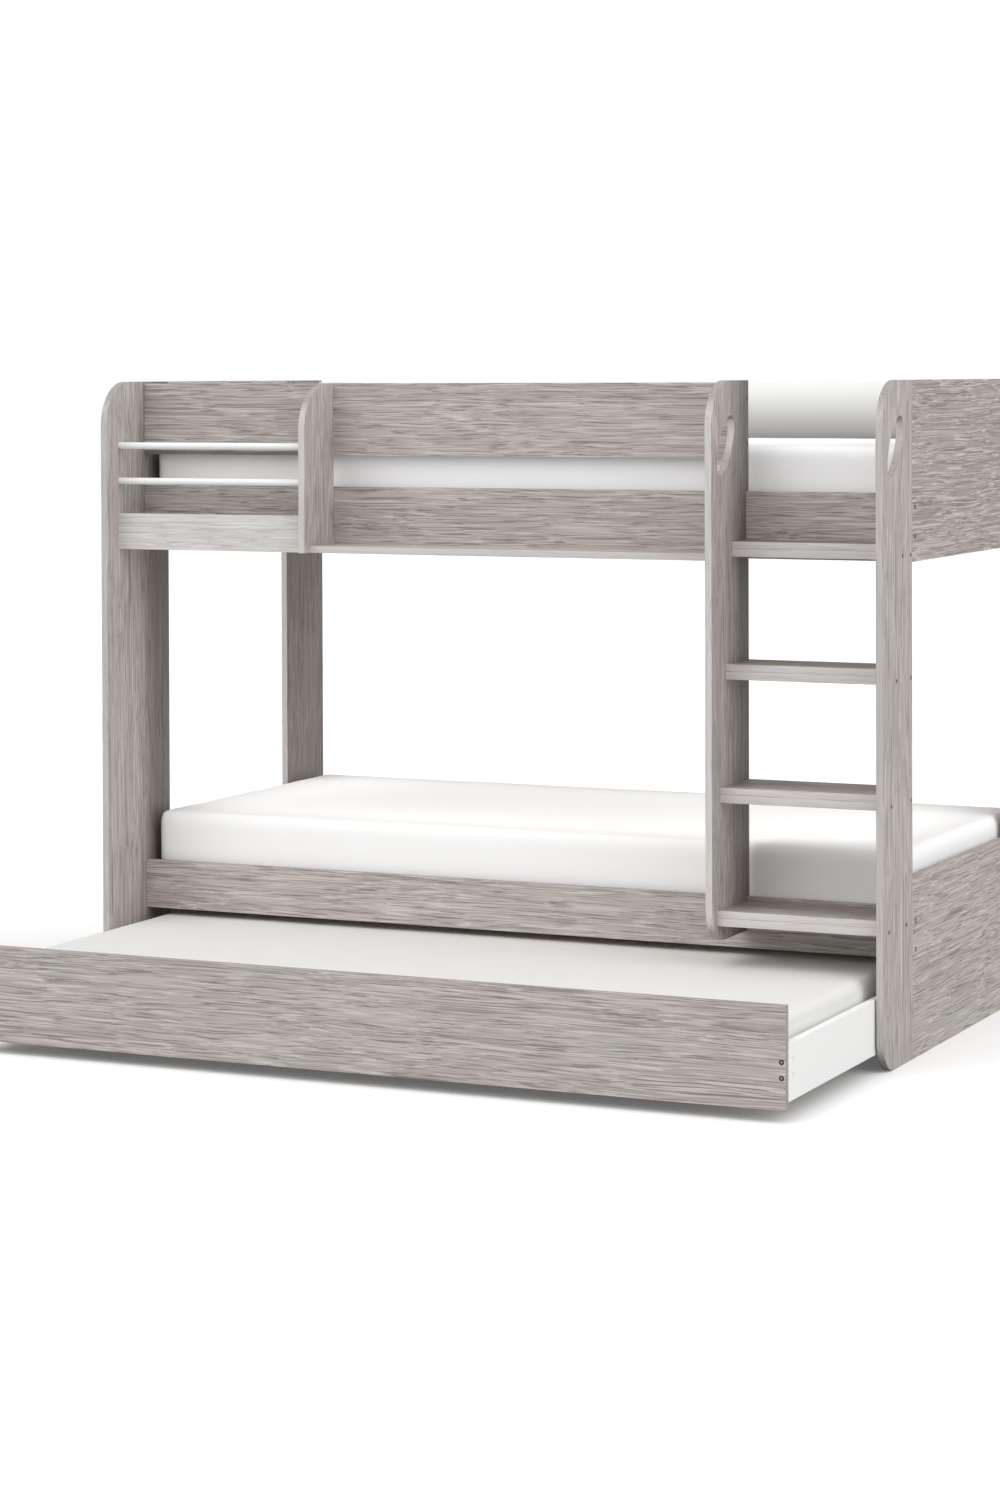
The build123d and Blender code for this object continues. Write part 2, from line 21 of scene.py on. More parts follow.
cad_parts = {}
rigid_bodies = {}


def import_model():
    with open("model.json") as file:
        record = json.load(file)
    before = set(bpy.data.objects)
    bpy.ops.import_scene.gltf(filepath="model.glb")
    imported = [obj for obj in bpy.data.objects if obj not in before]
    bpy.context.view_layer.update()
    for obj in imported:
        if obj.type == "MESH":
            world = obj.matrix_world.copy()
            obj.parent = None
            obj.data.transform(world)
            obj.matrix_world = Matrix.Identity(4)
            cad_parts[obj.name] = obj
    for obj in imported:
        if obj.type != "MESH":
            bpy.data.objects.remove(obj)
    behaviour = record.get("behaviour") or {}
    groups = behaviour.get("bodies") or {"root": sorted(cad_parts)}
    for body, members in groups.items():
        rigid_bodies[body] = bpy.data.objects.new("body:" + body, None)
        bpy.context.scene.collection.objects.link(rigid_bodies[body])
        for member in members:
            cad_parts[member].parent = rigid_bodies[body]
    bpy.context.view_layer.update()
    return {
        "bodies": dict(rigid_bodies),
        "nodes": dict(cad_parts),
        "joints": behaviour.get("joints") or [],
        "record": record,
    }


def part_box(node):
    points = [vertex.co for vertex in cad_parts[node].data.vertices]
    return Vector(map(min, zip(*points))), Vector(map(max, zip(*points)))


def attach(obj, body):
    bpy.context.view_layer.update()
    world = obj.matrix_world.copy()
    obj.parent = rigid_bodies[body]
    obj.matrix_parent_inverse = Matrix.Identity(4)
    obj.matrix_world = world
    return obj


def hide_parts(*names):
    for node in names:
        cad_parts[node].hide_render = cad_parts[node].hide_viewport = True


LOG = logging.getLogger("bunk_bed")
MM = 0.001
BED = "bed"
TRUNDLE = "trundle"
SAWN_EDGE = 1.5 * MM
ARC_STEPS = 20
LEVEL = 0.999
SLAB_ANGLE, SHARP_ANGLE = math.radians(35.0), math.radians(32.0)
WHITE = (1.0, 1.0, 1.0, 1.0)
RIGHTWARD, LEFTWARD = Vector((1, 0, 0)), Vector((-1, 0, 0))
BACKWARD, FORWARD = Vector((0, 1, 0)), Vector((0, -1, 0))
UPWARD = Vector((0, 0, 1))
Colour = tuple[float, float, float, float]
Outline = list[tuple[float, float]]
Ring = tuple[float, float, "Drive | None", int]


class Axis(Enum):
    """A direction of the frame that a board's grain or thickness runs along."""

    X = 0
    Y = 1
    Z = 2


class Drive(Enum):
    """The recess in a fastener's head, by its number of sides."""

    SLOT = 2
    SQUARE = 4
    HEX = 6


def tone(red: int, green: int, blue: int) -> Colour:
    """Turns a colour as a screen shows it into the linear colour of a shader.

    Args:
        red: Red from 0 to 255.
        green: Green from 0 to 255.
        blue: Blue from 0 to 255.

    Returns:
        The linear colour, with full alpha.
    """
    parts = [value / 255 for value in (red, green, blue)]
    linear = [p / 12.92 if p <= 0.04045 else ((p + 0.055) / 1.055) ** 2.4 for p in parts]
    return (*linear, 1.0)


class NodeSheet:
    """Adds nodes to a tree and joins them, with their settings given by name."""

    def __init__(self, tree: bpy.types.NodeTree) -> None:
        """Takes the tree to fill and empties it."""
        self.tree = tree
        tree.nodes.clear()

    def add(self, kind: str, sockets: dict | None = None, **settings: object) -> bpy.types.Node:
        """Adds one node.

        Args:
            kind: The node's type, without its ShaderNode prefix.
            sockets: What its input sockets hold: numbers, colours or other nodes' outputs.
            settings: Its other settings by name.

        Returns:
            The new node.
        """
        name = kind if kind.startswith("Node") else f"ShaderNode{kind}"
        node = self.tree.nodes.new(name)
        for key, value in settings.items():
            setattr(node, key, value)
        for key, value in (sockets or {}).items():
            self.feed(node.inputs[key], value)
        return node

    def feed(self, socket: bpy.types.NodeSocket, value: object) -> None:
        """Joins an input to another node's output, or sets its plain value."""
        if isinstance(value, bpy.types.NodeSocket):
            self.tree.links.new(value, socket)
        else:
            socket.default_value = value

    def math(self, operation: str, first: object, second: object = 0.0) -> bpy.types.NodeSocket:
        """Adds a math node and returns its output."""
        return self.add("Math", {0: first, 1: second}, operation=operation).outputs[0]

    def vector(self, operation: str, first: object, second: object) -> bpy.types.NodeSocket:
        """Adds a vector math node of two vectors and returns its vector output."""
        return self.add("VectorMath", {0: first, 1: second}, operation=operation).outputs[0]

    def scaled(self, vector: object, factor: object) -> bpy.types.NodeSocket:
        """Returns a vector times a number."""
        sockets = {0: vector, "Scale": factor}
        return self.add("VectorMath", sockets, operation="SCALE").outputs[0]

    def mix(self, factor: object, first: object, second: object) -> bpy.types.NodeSocket:
        """Adds a colour mix and returns its output."""
        node = self.add("Mix", data_type="RGBA")
        for index, value in ((0, factor), (6, first), (7, second)):
            self.feed(node.inputs[index], value)
        return node.outputs[2]

    def product(self, first: object, second: object) -> bpy.types.NodeSocket:
        """Returns the product of two values."""
        return self.math("MULTIPLY", first, second)

    def split(self, vector: object) -> list[bpy.types.NodeSocket]:
        """Returns a vector's three parts."""
        return list(self.add("SeparateXYZ", {0: vector}).outputs)

    def group(self, tree: bpy.types.NodeTree, **sockets: object) -> dict[str, object]:
        """Adds a shared group.

        Args:
            tree: The group.
            sockets: What its inputs hold, with underscores for the spaces in their names.

        Returns:
            Its output sockets by name.
        """
        node = self.add("Group", node_tree=tree)
        for key, value in sockets.items():
            self.feed(node.inputs[key.replace("_", " ")], value)
        return dict(node.outputs.items())

    def bump(self, shader: bpy.types.Node, height: object, strength: float, depth: float) -> None:
        """Gives a shader a relief from a height."""
        sockets = {"Height": height, "Strength": strength, "Distance": depth}
        self.feed(shader.inputs["Normal"], self.add("Bump", sockets).outputs[0])

    def noise(
        self, vector: object, scale: float, detail: float, roughness: float = 0.5
    ) -> bpy.types.NodeSocket:
        """Adds a noise texture and returns its single value."""
        sockets = {"Vector": vector, "Scale": scale, "Detail": detail, "Roughness": roughness}
        return self.add("TexNoise", sockets).outputs[0]

    def window(self, value: object, low: float, high: float) -> bpy.types.NodeSocket:
        """Returns 0 where a value is at low or beyond and 1 where it is at high, smoothly."""
        sockets = {"Value": value, "From Min": low, "From Max": high}
        return self.add("MapRange", sockets, interpolation_type="SMOOTHSTEP").outputs[0]


def new_group(
    name: str, inputs: dict[str, object], outputs: tuple[str, ...]
) -> tuple[NodeSheet, bpy.types.Node, bpy.types.Node]:
    """Makes an empty shader group with named sockets.

    Args:
        name: The group's name.
        inputs: Each input's name, with a number or "vector" for its value.
        outputs: Each output's name. All of them are values.

    Returns:
        The group's node sheet, its input node and its output node.
    """
    group = bpy.data.node_groups.new(name, "ShaderNodeTree")
    for key, value in inputs.items():
        kind = "NodeSocketVector" if value == "vector" else "NodeSocketFloat"
        socket = group.interface.new_socket(key, in_out="INPUT", socket_type=kind)
        if value != "vector":
            socket.default_value = value
    for key in outputs:
        group.interface.new_socket(key, in_out="OUTPUT", socket_type="NodeSocketFloat")
    sheet = NodeSheet(group)
    return sheet, sheet.add("NodeGroupInput"), sheet.add("NodeGroupOutput")


@cache
def grain_group() -> bpy.types.NodeTree:
    """Builds the laminate's printed grain: dark pores, pale streaks, bands and broad patches.

    Returns:
        The group. Vector is squeezed hard along the grain and Patch Vector a little, so that
        the noise is drawn out there.
    """
    inputs = {"Vector": "vector", "Patch Vector": "vector", "Fineness": 1.0}
    outputs = ("Pores", "Streaks", "Bands", "Patches")
    sheet, given, result = new_group("laminate_grain", inputs, outputs)
    patch_place = given.outputs["Patch Vector"]
    drift = sheet.add("TexNoise", {"Vector": patch_place, "Scale": 13.0, "Detail": 2.0})
    centred = sheet.vector("SUBTRACT", drift.outputs[1], (0.5, 0.5, 0.5))
    wavy = sheet.vector("ADD", given.outputs["Vector"], sheet.scaled(centred, 0.016))
    fine = sheet.scaled(wavy, given.outputs["Fineness"])
    pores = sheet.noise(fine, 400.0, 3.0, 0.55)
    shifted = sheet.vector("ADD", fine, (3.1, 7.7, 5.3))
    streaks = sheet.noise(shifted, 360.0, 2.0, 0.55)
    broad = sheet.noise(shifted, 105.0, 2.0, 0.5)
    bands = sheet.noise(wavy, 34.0, 3.0, 0.55)
    patches = sheet.noise(patch_place, 9.0, 2.0, 0.5)
    deep = sheet.product(sheet.window(broad, 0.48, 0.34), 0.35)
    sheet.feed(result.inputs["Pores"], sheet.math("MAXIMUM", sheet.window(pores, 0.49, 0.39), deep))
    bright = sheet.product(sheet.window(broad, 0.54, 0.68), 0.3)
    streaked = sheet.math("MAXIMUM", sheet.window(streaks, 0.52, 0.62), bright)
    sheet.feed(result.inputs["Streaks"], streaked)
    sheet.feed(result.inputs["Bands"], sheet.window(bands, 0.32, 0.68))
    sheet.feed(result.inputs["Patches"], sheet.window(patches, 0.34, 0.66))
    return sheet.tree


@cache
def speckle_group() -> bpy.types.NodeTree:
    """Builds a fine unevenness for paint, plastic and metal: a tone and a height."""
    inputs = {"Vector": "vector", "Size": 400.0}
    sheet, given, result = new_group("surface_speckle", inputs, ("Tone", "Height"))
    sockets = {"Vector": given.outputs["Vector"], "Scale": given.outputs["Size"], "Detail": 4.0}
    speckle = sheet.add("TexNoise", sockets).outputs[0]
    sheet.feed(result.inputs["Tone"], sheet.window(speckle, 0.3, 0.7))
    sheet.feed(result.inputs["Height"], speckle)
    return sheet.tree


@cache
def knit_group() -> bpy.types.NodeTree:
    """Builds a knitted cover: small raised cells between sunk threads, along two diagonals.

    Returns:
        The group. Pitch is the number of cells to a metre.
    """
    inputs = {"Vector": "vector", "Pitch": 180.0}
    sheet, given, result = new_group("knit_relief", inputs, ("Height", "Thread", "Tone"))
    along, across, up = sheet.split(given.outputs["Vector"])
    upright = sheet.product(up, math.sqrt(2))
    waves = []
    for sign in ("ADD", "SUBTRACT"):
        place = sheet.math(sign, sheet.math(sign, along, across), upright)
        turn = sheet.product(sheet.product(place, given.outputs["Pitch"]), math.pi)
        waves.append(sheet.math("ABSOLUTE", sheet.math("SINE", turn)))
    relief = sheet.math("MINIMUM", waves[0], waves[1])
    fuzz = sheet.noise(given.outputs["Vector"], 900.0, 2.0)
    sheet.feed(result.inputs["Height"], sheet.math("ADD", relief, sheet.product(fuzz, 0.35)))
    sheet.feed(result.inputs["Thread"], sheet.window(relief, 0.5, 0.1))
    tone_noise = sheet.noise(given.outputs["Vector"], 9.0, 3.0)
    sheet.feed(result.inputs["Tone"], sheet.window(tone_noise, 0.25, 0.75))
    return sheet.tree


def new_material(name: str) -> tuple[bpy.types.Material, NodeSheet, bpy.types.Node]:
    """Makes a material with a Principled shader joined to its output.

    Args:
        name: The material's name.

    Returns:
        The material, its node sheet and its Principled node.
    """
    material = bpy.data.materials.new(name)
    material.use_nodes = True
    sheet = NodeSheet(material.node_tree)
    shader = sheet.add("BsdfPrincipled")
    sheet.add("OutputMaterial", {0: shader.outputs[0]})
    return material, sheet, shader


@dataclass(frozen=True)
class Shade:
    """Painted shade: a soft darkening painted into a board's colour on its faces of one direction,
    between two places.
    """

    name: str
    facing: Axis
    side: int
    along: Axis
    clean: float
    full: float
    share: float
    end_x: float = 10.0
    # The colour that the painted shade darkens towards.
    colour: Colour = tone(70, 64, 58)

    def tint(self, sheet: NodeSheet, colour: bpy.types.NodeSocket) -> bpy.types.NodeSocket:
        """Returns the colour with the painted shade over it."""
        texture = sheet.add("TexCoord")
        place = sheet.split(texture.outputs["Object"])
        facing = sheet.split(texture.outputs["Normal"])
        depth = sheet.window(place[self.along.value], self.clean, self.full)
        turned = sheet.product(facing[self.facing.value], float(self.side))
        on_face = sheet.math("GREATER_THAN", turned, 0.9)
        inside = sheet.math("LESS_THAN", place[0], self.end_x)
        share = sheet.product(depth, sheet.product(on_face, inside))
        return sheet.mix(sheet.product(share, self.share), colour, self.colour)


@dataclass(frozen=True)
class Laminate:
    """Chipboard with a printed wood-grain face, pale bands on its edges and darker ends, and
    painted shade on the edges that look up.
    """

    name: str
    warm: Colour
    cool: Colour
    pore: Colour
    streak: Colour
    band: Colour
    # Colour of the edges that look up or sideways: the board's ends, and painted shade on the
    # upward edges.
    end: Colour
    pore_share: float = 0.72
    streak_share: float = 0.68
    band_share: float = 0.14
    roughness: float = 0.52
    fineness: float = 1.0
    grain_stretch: float = 46.0
    patch_stretch: float = 5.0

    def material(
        self, grain: Axis, thickness: Axis, shade: Shade | None = None
    ) -> bpy.types.Material:
        """Returns the laminate for a board of one lie, and builds it when first asked for.

        Args:
            grain: The way that the grain runs.
            thickness: The way through the board.
            shade: A painted shade over one of the board's faces.
        """
        suffix = f"_{shade.name}" if shade else ""
        name = f"{self.name}_{grain.name}_{thickness.name}{suffix}".lower()
        return bpy.data.materials.get(name) or self._build(name, grain, thickness, shade)

    def _drawn(
        self, sheet: NodeSheet, place: object, along: Axis, stretch: float
    ) -> bpy.types.NodeSocket:
        """Returns the place squeezed along one axis."""
        scale = [1.0, 1.0, 1.0]
        scale[along.value] = 1 / stretch
        return sheet.add("Mapping", {"Vector": place, "Scale": scale}).outputs[0]

    def _build(
        self, name: str, grain: Axis, thickness: Axis, shade: Shade | None
    ) -> bpy.types.Material:
        """Builds the material for one lie of the grain."""
        material, sheet, shader = new_material(name)
        texture = sheet.add("TexCoord")
        number = sheet.add("Attribute", attribute_name="board_number").outputs["Fac"]
        offset = sheet.scaled((3.71, 2.93, 4.37), number)
        place = sheet.vector("ADD", texture.outputs["Object"], offset)
        marks = sheet.group(
            grain_group(),
            Vector=self._drawn(sheet, place, grain, self.grain_stretch),
            Patch_Vector=self._drawn(sheet, place, grain, self.patch_stretch),
            Fineness=self.fineness,
        )
        facing = sheet.split(texture.outputs["Normal"])
        side = sheet.math("ABSOLUTE", facing[thickness.value])
        edged = self._edge_colour(sheet, marks, facing[1])
        on_edge = sheet.math("LESS_THAN", side, 0.6)
        colour = sheet.mix(on_edge, self._face_colour(sheet, marks), edged)
        # Painted shade over the colour, where the board has one.
        if shade:
            colour = shade.tint(sheet, colour)
        sheet.feed(shader.inputs["Base Color"], colour)
        rough = sheet.math("ADD", sheet.product(marks["Pores"], 0.14), self.roughness)
        sheet.feed(shader.inputs["Roughness"], rough)
        sheet.bump(shader, sheet.math("SUBTRACT", 1.0, marks["Pores"]), 0.3, 0.4 * MM)
        shader.inputs["Specular IOR Level"].default_value = 0.3
        return material

    def _face_colour(self, sheet: NodeSheet, marks: dict) -> bpy.types.NodeSocket:
        """Returns the printed face's colour."""
        colour = sheet.mix(marks["Patches"], self.warm, self.cool)
        layers = (
            ("Bands", self.band_share, self.pore),
            ("Pores", self.pore_share, self.pore),
            ("Streaks", self.streak_share, self.streak),
        )
        for mark, share, over in layers:
            colour = sheet.mix(sheet.product(marks[mark], share), colour, over)
        return colour

    def _edge_colour(
        self, sheet: NodeSheet, marks: dict, facing_y: bpy.types.NodeSocket
    ) -> bpy.types.NodeSocket:
        """Returns the edge band's colour, which is darker on edges that look up or sideways: on the
        ends this is the board's own tone, on the edges that look up it is painted shade.
        """
        forward = sheet.math("ABSOLUTE", facing_y)
        # Painted shade: edges that look neither forwards nor backwards take the darker end colour.
        colour = sheet.mix(sheet.window(forward, 0.72, 0.99), self.end, self.band)
        for mark, share, over in (("Pores", 0.2, self.pore), ("Streaks", 0.3, self.streak)):
            colour = sheet.mix(sheet.product(marks[mark], share), colour, over)
        return colour


@dataclass(frozen=True)
class Coating:
    """An even finish on paint, plastic or metal, with a fine unevenness."""

    name: str
    light: Colour
    dark: Colour
    roughness: float = 0.45
    metallic: float = 0.0
    bump: float = 0.08
    size: float = 400.0

    def material(self, shade: Shade | None = None) -> bpy.types.Material:
        """Returns the material, and builds it when first asked for."""
        name = f"{self.name}_{shade.name}" if shade else self.name
        return bpy.data.materials.get(name) or self._build(name, shade)

    def _build(self, name: str, shade: Shade | None) -> bpy.types.Material:
        """Builds the material."""
        material, sheet, shader = new_material(name)
        place = sheet.add("TexCoord").outputs["Object"]
        speckle = sheet.group(speckle_group(), Vector=place, Size=self.size)
        colour = sheet.mix(speckle["Tone"], self.dark, self.light)
        # Painted shade over the colour, where the board has one.
        if shade:
            colour = shade.tint(sheet, colour)
        sheet.feed(shader.inputs["Base Color"], colour)
        rough = sheet.math("ADD", sheet.product(speckle["Tone"], 0.12), self.roughness)
        sheet.feed(shader.inputs["Roughness"], rough)
        sheet.bump(shader, speckle["Height"], self.bump, 0.4 * MM)
        shader.inputs["Metallic"].default_value = self.metallic
        shader.inputs["Specular IOR Level"].default_value = 0.35
        return material


@dataclass(frozen=True)
class Cover:
    """A mattress cover of knitted cloth, with so many cells of its knit to a metre."""

    name: str
    ground: Colour
    thread: Colour
    pitch: float
    thread_share: float
    relief: float

    def material(self) -> bpy.types.Material:
        """Returns the material, and builds it when first asked for."""
        return bpy.data.materials.get(self.name) or self._build()

    def _build(self) -> bpy.types.Material:
        """Builds the material."""
        material, sheet, shader = new_material(self.name)
        place = sheet.add("TexCoord").outputs["Object"]
        knit = sheet.group(knit_group(), Vector=place, Pitch=self.pitch)
        thread_share = sheet.product(knit["Thread"], self.thread_share)
        threaded = sheet.mix(thread_share, self.ground, self.thread)
        colour = sheet.mix(sheet.product(knit["Tone"], 0.05), threaded, self.thread)
        sheet.feed(shader.inputs["Base Color"], colour)
        sheet.bump(shader, knit["Height"], 0.3, self.relief)
        shader.inputs["Roughness"].default_value = 0.92
        shader.inputs["Sheen Weight"].default_value = 0.08
        shader.inputs["Specular IOR Level"].default_value = 0.15
        return material


OAK = Laminate(
    name="grey_oak",
    warm=tone(184, 173, 170),
    cool=tone(182, 178, 172),
    pore=tone(118, 106, 103),
    streak=tone(216, 210, 206),
    band=tone(206, 202, 200),
    end=tone(158, 150, 147),
)
UPRIGHT_OAK = replace(OAK, name="upright_oak", band=tone(190, 185, 182))
END_OAK = replace(OAK, name="end_oak", warm=tone(168, 156, 153), cool=tone(166, 159, 154))
PALE_OAK = Laminate(
    name="pale_oak",
    warm=tone(216, 210, 209),
    cool=tone(210, 212, 207),
    pore=tone(168, 163, 160),
    streak=tone(230, 228, 226),
    band=tone(218, 216, 214),
    end=tone(214, 212, 210),
    pore_share=0.5,
)
PINE = Laminate(
    name="pine",
    warm=tone(214, 184, 142),
    cool=tone(222, 196, 156),
    pore=tone(178, 140, 94),
    streak=tone(232, 210, 174),
    band=tone(216, 188, 148),
    end=tone(206, 172, 128),
    pore_share=0.35,
    streak_share=0.3,
    roughness=0.7,
    fineness=0.8,
)
WHITE_BOARD = Coating("white_board", tone(246, 246, 245), tone(243, 243, 242), 0.42, bump=0.04)
WHITE_PAINT = Coating("white_paint", tone(250, 250, 249), tone(246, 246, 245), 0.3, bump=0.05)
DARK_STEEL_AND_RECESS_SHADE = Coating("dark_steel", tone(44, 40, 38), tone(28, 26, 25), 0.4, 0.0, 0.05, 900.0)
BRIGHT_STEEL = Coating(
    "bright_steel", tone(196, 196, 194), tone(168, 168, 166), 0.3, 1.0, 0.05, 900.0
)
ZINC = Coating("zinc", tone(190, 192, 190), tone(150, 153, 150), 0.36, 1.0, 0.06, 700.0)
BLACK_PLASTIC = Coating("black_plastic", tone(44, 44, 45), tone(34, 34, 35), 0.5, bump=0.12)
GREY_PLASTIC = Coating("grey_plastic", tone(120, 121, 122), tone(104, 105, 106), 0.45, bump=0.1)
WHITE_COVER = Cover(
    "white_cover",
    tone(250, 250, 250),
    tone(240, 240, 240),
    pitch=520.0,
    thread_share=0.12,
    relief=0.3 * MM,
)
KNIT_COVER = Cover(
    "knit_cover",
    tone(236, 236, 236),
    tone(178, 172, 162),
    pitch=125.0,
    thread_share=0.6,
    relief=1.2 * MM,
)


def show_mesh(
    name: str, mesh: bpy.types.Mesh, *materials: bpy.types.Material
) -> bpy.types.Object:
    """Puts a mesh into the scene as an object with its materials."""
    piece = bpy.data.objects.new(name, mesh)
    bpy.context.scene.collection.objects.link(piece)
    mesh.materials.clear()
    for material in materials:
        mesh.materials.append(material)
    return piece


def finish_piece(piece: bpy.types.Object, body: str, slot: str, *nodes: str) -> None:
    """Ties a piece to its body and the nodes that it stands for.

    Args:
        piece: The piece, in place.
        body: The body that it rides on.
        slot: The record's material slot. It is not used.
        nodes: The CAD nodes that it replaces.
    """
    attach(piece, body)
    if nodes:
        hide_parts(*nodes)
    LOG.info("%s rides on %s, %d faces", piece.name, body, len(piece.data.polygons))


def number_boards(mesh: bpy.types.Mesh, numbers: list[float]) -> None:
    """Gives each point of a mesh its board's number, which shifts the grain from board to board."""
    layer = mesh.attributes.new("board_number", "FLOAT", "POINT")
    layer.data.foreach_set("value", numbers)


def arc(centre: tuple[float, float], radius: float, start: float, end: float) -> Outline:
    """Returns points along an arc.

    Args:
        centre: Its centre.
        radius: Its radius.
        start: Its first angle in degrees.
        end: Its last angle in degrees.
    """
    turns = (start + (end - start) * k / ARC_STEPS for k in range(ARC_STEPS + 1))
    angles = [math.radians(turn) for turn in turns]
    return [(centre[0] + radius * math.cos(a), centre[1] + radius * math.sin(a)) for a in angles]


def box_outline(low: tuple[float, float], high: tuple[float, float]) -> Outline:
    """Returns the four corners of a rectangle, turning left."""
    return [(low[0], low[1]), (high[0], low[1]), (high[0], high[1]), (low[0], high[1])]


@dataclass
class Board:
    """A flat board with softened edges, cut from its outline."""

    node: str
    thickness: Axis
    grain: Axis
    finish: Laminate | Coating = OAK
    slot: str = "oak_laminate"
    body: str = BED
    softening: float = 0.7 * MM
    outline: Outline | None = None
    hole: Outline | None = None
    shade: Shade | None = None

    def build(self) -> None:
        """Builds the board in its node's place."""
        low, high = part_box(self.node)
        across, up = (axis.value for axis in Axis if axis is not self.thickness)
        outline = self.outline or box_outline((low[across], low[up]), (high[across], high[up]))
        span = high[self.thickness.value] - low[self.thickness.value]
        mesh = self._slab(outline, span)
        place = Matrix(((0.0,) * 4,) * 3 + ((0.0, 0.0, 0.0, 1.0),))
        place[across][0] = place[up][1] = place[self.thickness.value][2] = 1.0
        place[self.thickness.value][3] = low[self.thickness.value] + span / 2
        mesh.transform(place)
        if place.to_3x3().determinant() < 0:
            mesh.flip_normals()
        number = 0.1 + (sum(map(ord, self.node)) * 37 % 101) / 101
        number_boards(mesh, [number] * len(mesh.vertices))
        if isinstance(self.finish, Laminate):
            materials = [self.finish.material(self.grain, self.thickness, self.shade)]
        else:
            materials = [self.finish.material(self.shade)]
        if self.hole:
            materials.append(PALE_OAK.material(self.grain, self.thickness))
            self._dress_hole(mesh)
        piece = show_mesh(f"{self.node}_board", mesh, *materials)
        finish_piece(piece, self.body, self.slot, self.node)

    def _dress_hole(self, mesh: bpy.types.Mesh) -> None:
        """Gives the hole's wall the second material."""
        rim = np.array(self.hole)
        low, high = rim.min(axis=0) - MM, rim.max(axis=0) + MM
        for face in mesh.polygons:
            spot = (face.center.y, face.center.z)
            within = all(low[k] < spot[k] < high[k] for k in (0, 1))
            if within and abs(face.normal[self.thickness.value]) < 0.7:
                face.material_index = 1

    def _slab(self, outline: Outline, span: float) -> bpy.types.Mesh:
        """Makes the slab from a filled curve, which has the softened edges and the hole."""
        curve = bpy.data.curves.new(f"{self.node}_outline", "CURVE")
        curve.dimensions = "2D"
        curve.fill_mode = "BOTH"
        for ring in (outline, self.hole) if self.hole else (outline,):
            spline = curve.splines.new("POLY")
            spline.points.add(len(ring) - 1)
            for point, (u, v) in zip(spline.points, ring):
                point.co = (u, v, 0, 1)
            spline.use_cyclic_u = True
        curve.offset = -self.softening
        curve.bevel_depth = self.softening
        curve.bevel_resolution = 2
        curve.extrude = span / 2 - self.softening
        holder = bpy.data.objects.new(f"{self.node}_outline", curve)
        bpy.context.scene.collection.objects.link(holder)
        bpy.context.view_layer.update()
        shaped = holder.evaluated_get(bpy.context.evaluated_depsgraph_get())
        mesh = bpy.data.meshes.new_from_object(shaped)
        bpy.data.objects.remove(holder)
        bpy.data.curves.remove(curve)
        tidy_slab(mesh)
        return mesh


def tidy_slab(mesh: bpy.types.Mesh) -> None:
    """Welds a slab and shades its round edges smooth and its faces flat."""
    work = bmesh.new()
    work.from_mesh(mesh)
    bmesh.ops.remove_doubles(work, verts=work.verts, dist=1e-6)
    bmesh.ops.recalc_face_normals(work, faces=work.faces)
    for face in work.faces:
        face.smooth = abs(face.normal.z) < LEVEL
    for edge in work.edges:
        flat = any(abs(face.normal.z) >= LEVEL for face in edge.link_faces)
        edge.smooth = not flat and edge.calc_face_angle(0.0) < SLAB_ANGLE
    work.to_mesh(mesh)
    work.free()


def add_box(
    work: bmesh.types.BMesh, low: Vector, high: Vector
) -> list[bmesh.types.BMVert]:
    """Adds a box to a mesh in work and returns its corners."""
    place = Matrix.Translation((low + high) / 2) @ Matrix.Diagonal((*(high - low), 1.0))
    return bmesh.ops.create_cube(work, size=1.0, matrix=place)["verts"]


def mesh_of(work: bmesh.types.BMesh, name: str) -> bpy.types.Mesh:
    """Turns the mesh in work into a finished one."""
    mesh = bpy.data.meshes.new(name)
    work.to_mesh(mesh)
    work.free()
    return mesh


def soften(
    work: bmesh.types.BMesh, edges: list[bmesh.types.BMEdge], radius: float, segments: int
) -> None:
    """Rounds edges of a mesh in work."""
    bmesh.ops.bevel(
        work, geom=edges, offset=radius, segments=segments, affect="EDGES", profile=0.5
    )


@dataclass
class BarRow:
    """A row of sawn bars, such as slats, in one mesh, each with its edges rounded."""

    node: str
    count: int
    width: float
    body: str
    softening: float = 2.5 * MM

    def build(self) -> None:
        """Builds the row in its node's place."""
        low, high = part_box(self.node)
        pitch = (high.x - low.x - self.width) / (self.count - 1)
        work = bmesh.new()
        numbers = []
        for step in range(self.count):
            start = low.x + step * pitch
            bar = Vector((start, low.y, low.z)), Vector((start + self.width, high.y, high.z))
            edges = list({edge for vert in add_box(work, *bar) for edge in vert.link_edges})
            soften(work, edges, self.softening, 3)
            numbers += [step * 0.618 % 1.0] * (len(work.verts) - len(numbers))
        work.verts.index_update()
        mesh = mesh_of(work, self.node)
        number_boards(mesh, numbers)
        shade_by_angle(mesh)
        piece = show_mesh(f"{self.node}_sawn", mesh, PINE.material(Axis.Y, Axis.Z))
        finish_piece(piece, self.body, "pine", self.node)


def shade_by_angle(mesh: bpy.types.Mesh) -> None:
    """Shades a mesh smooth, with sharp edges where its faces turn by a sharp angle."""
    mesh.shade_smooth()
    mesh.set_sharp_from_angle(angle=SHARP_ANGLE)


def points_of(mesh: bpy.types.Mesh) -> np.ndarray:
    """Returns a mesh's points, one to a row."""
    points = np.zeros(len(mesh.vertices) * 3)
    mesh.vertices.foreach_get("co", points)
    return points.reshape(-1, 3)


def move_points(mesh: bpy.types.Mesh, points: np.ndarray) -> None:
    """Moves a mesh's points to new places."""
    mesh.vertices.foreach_set("co", points.ravel())
    mesh.update()


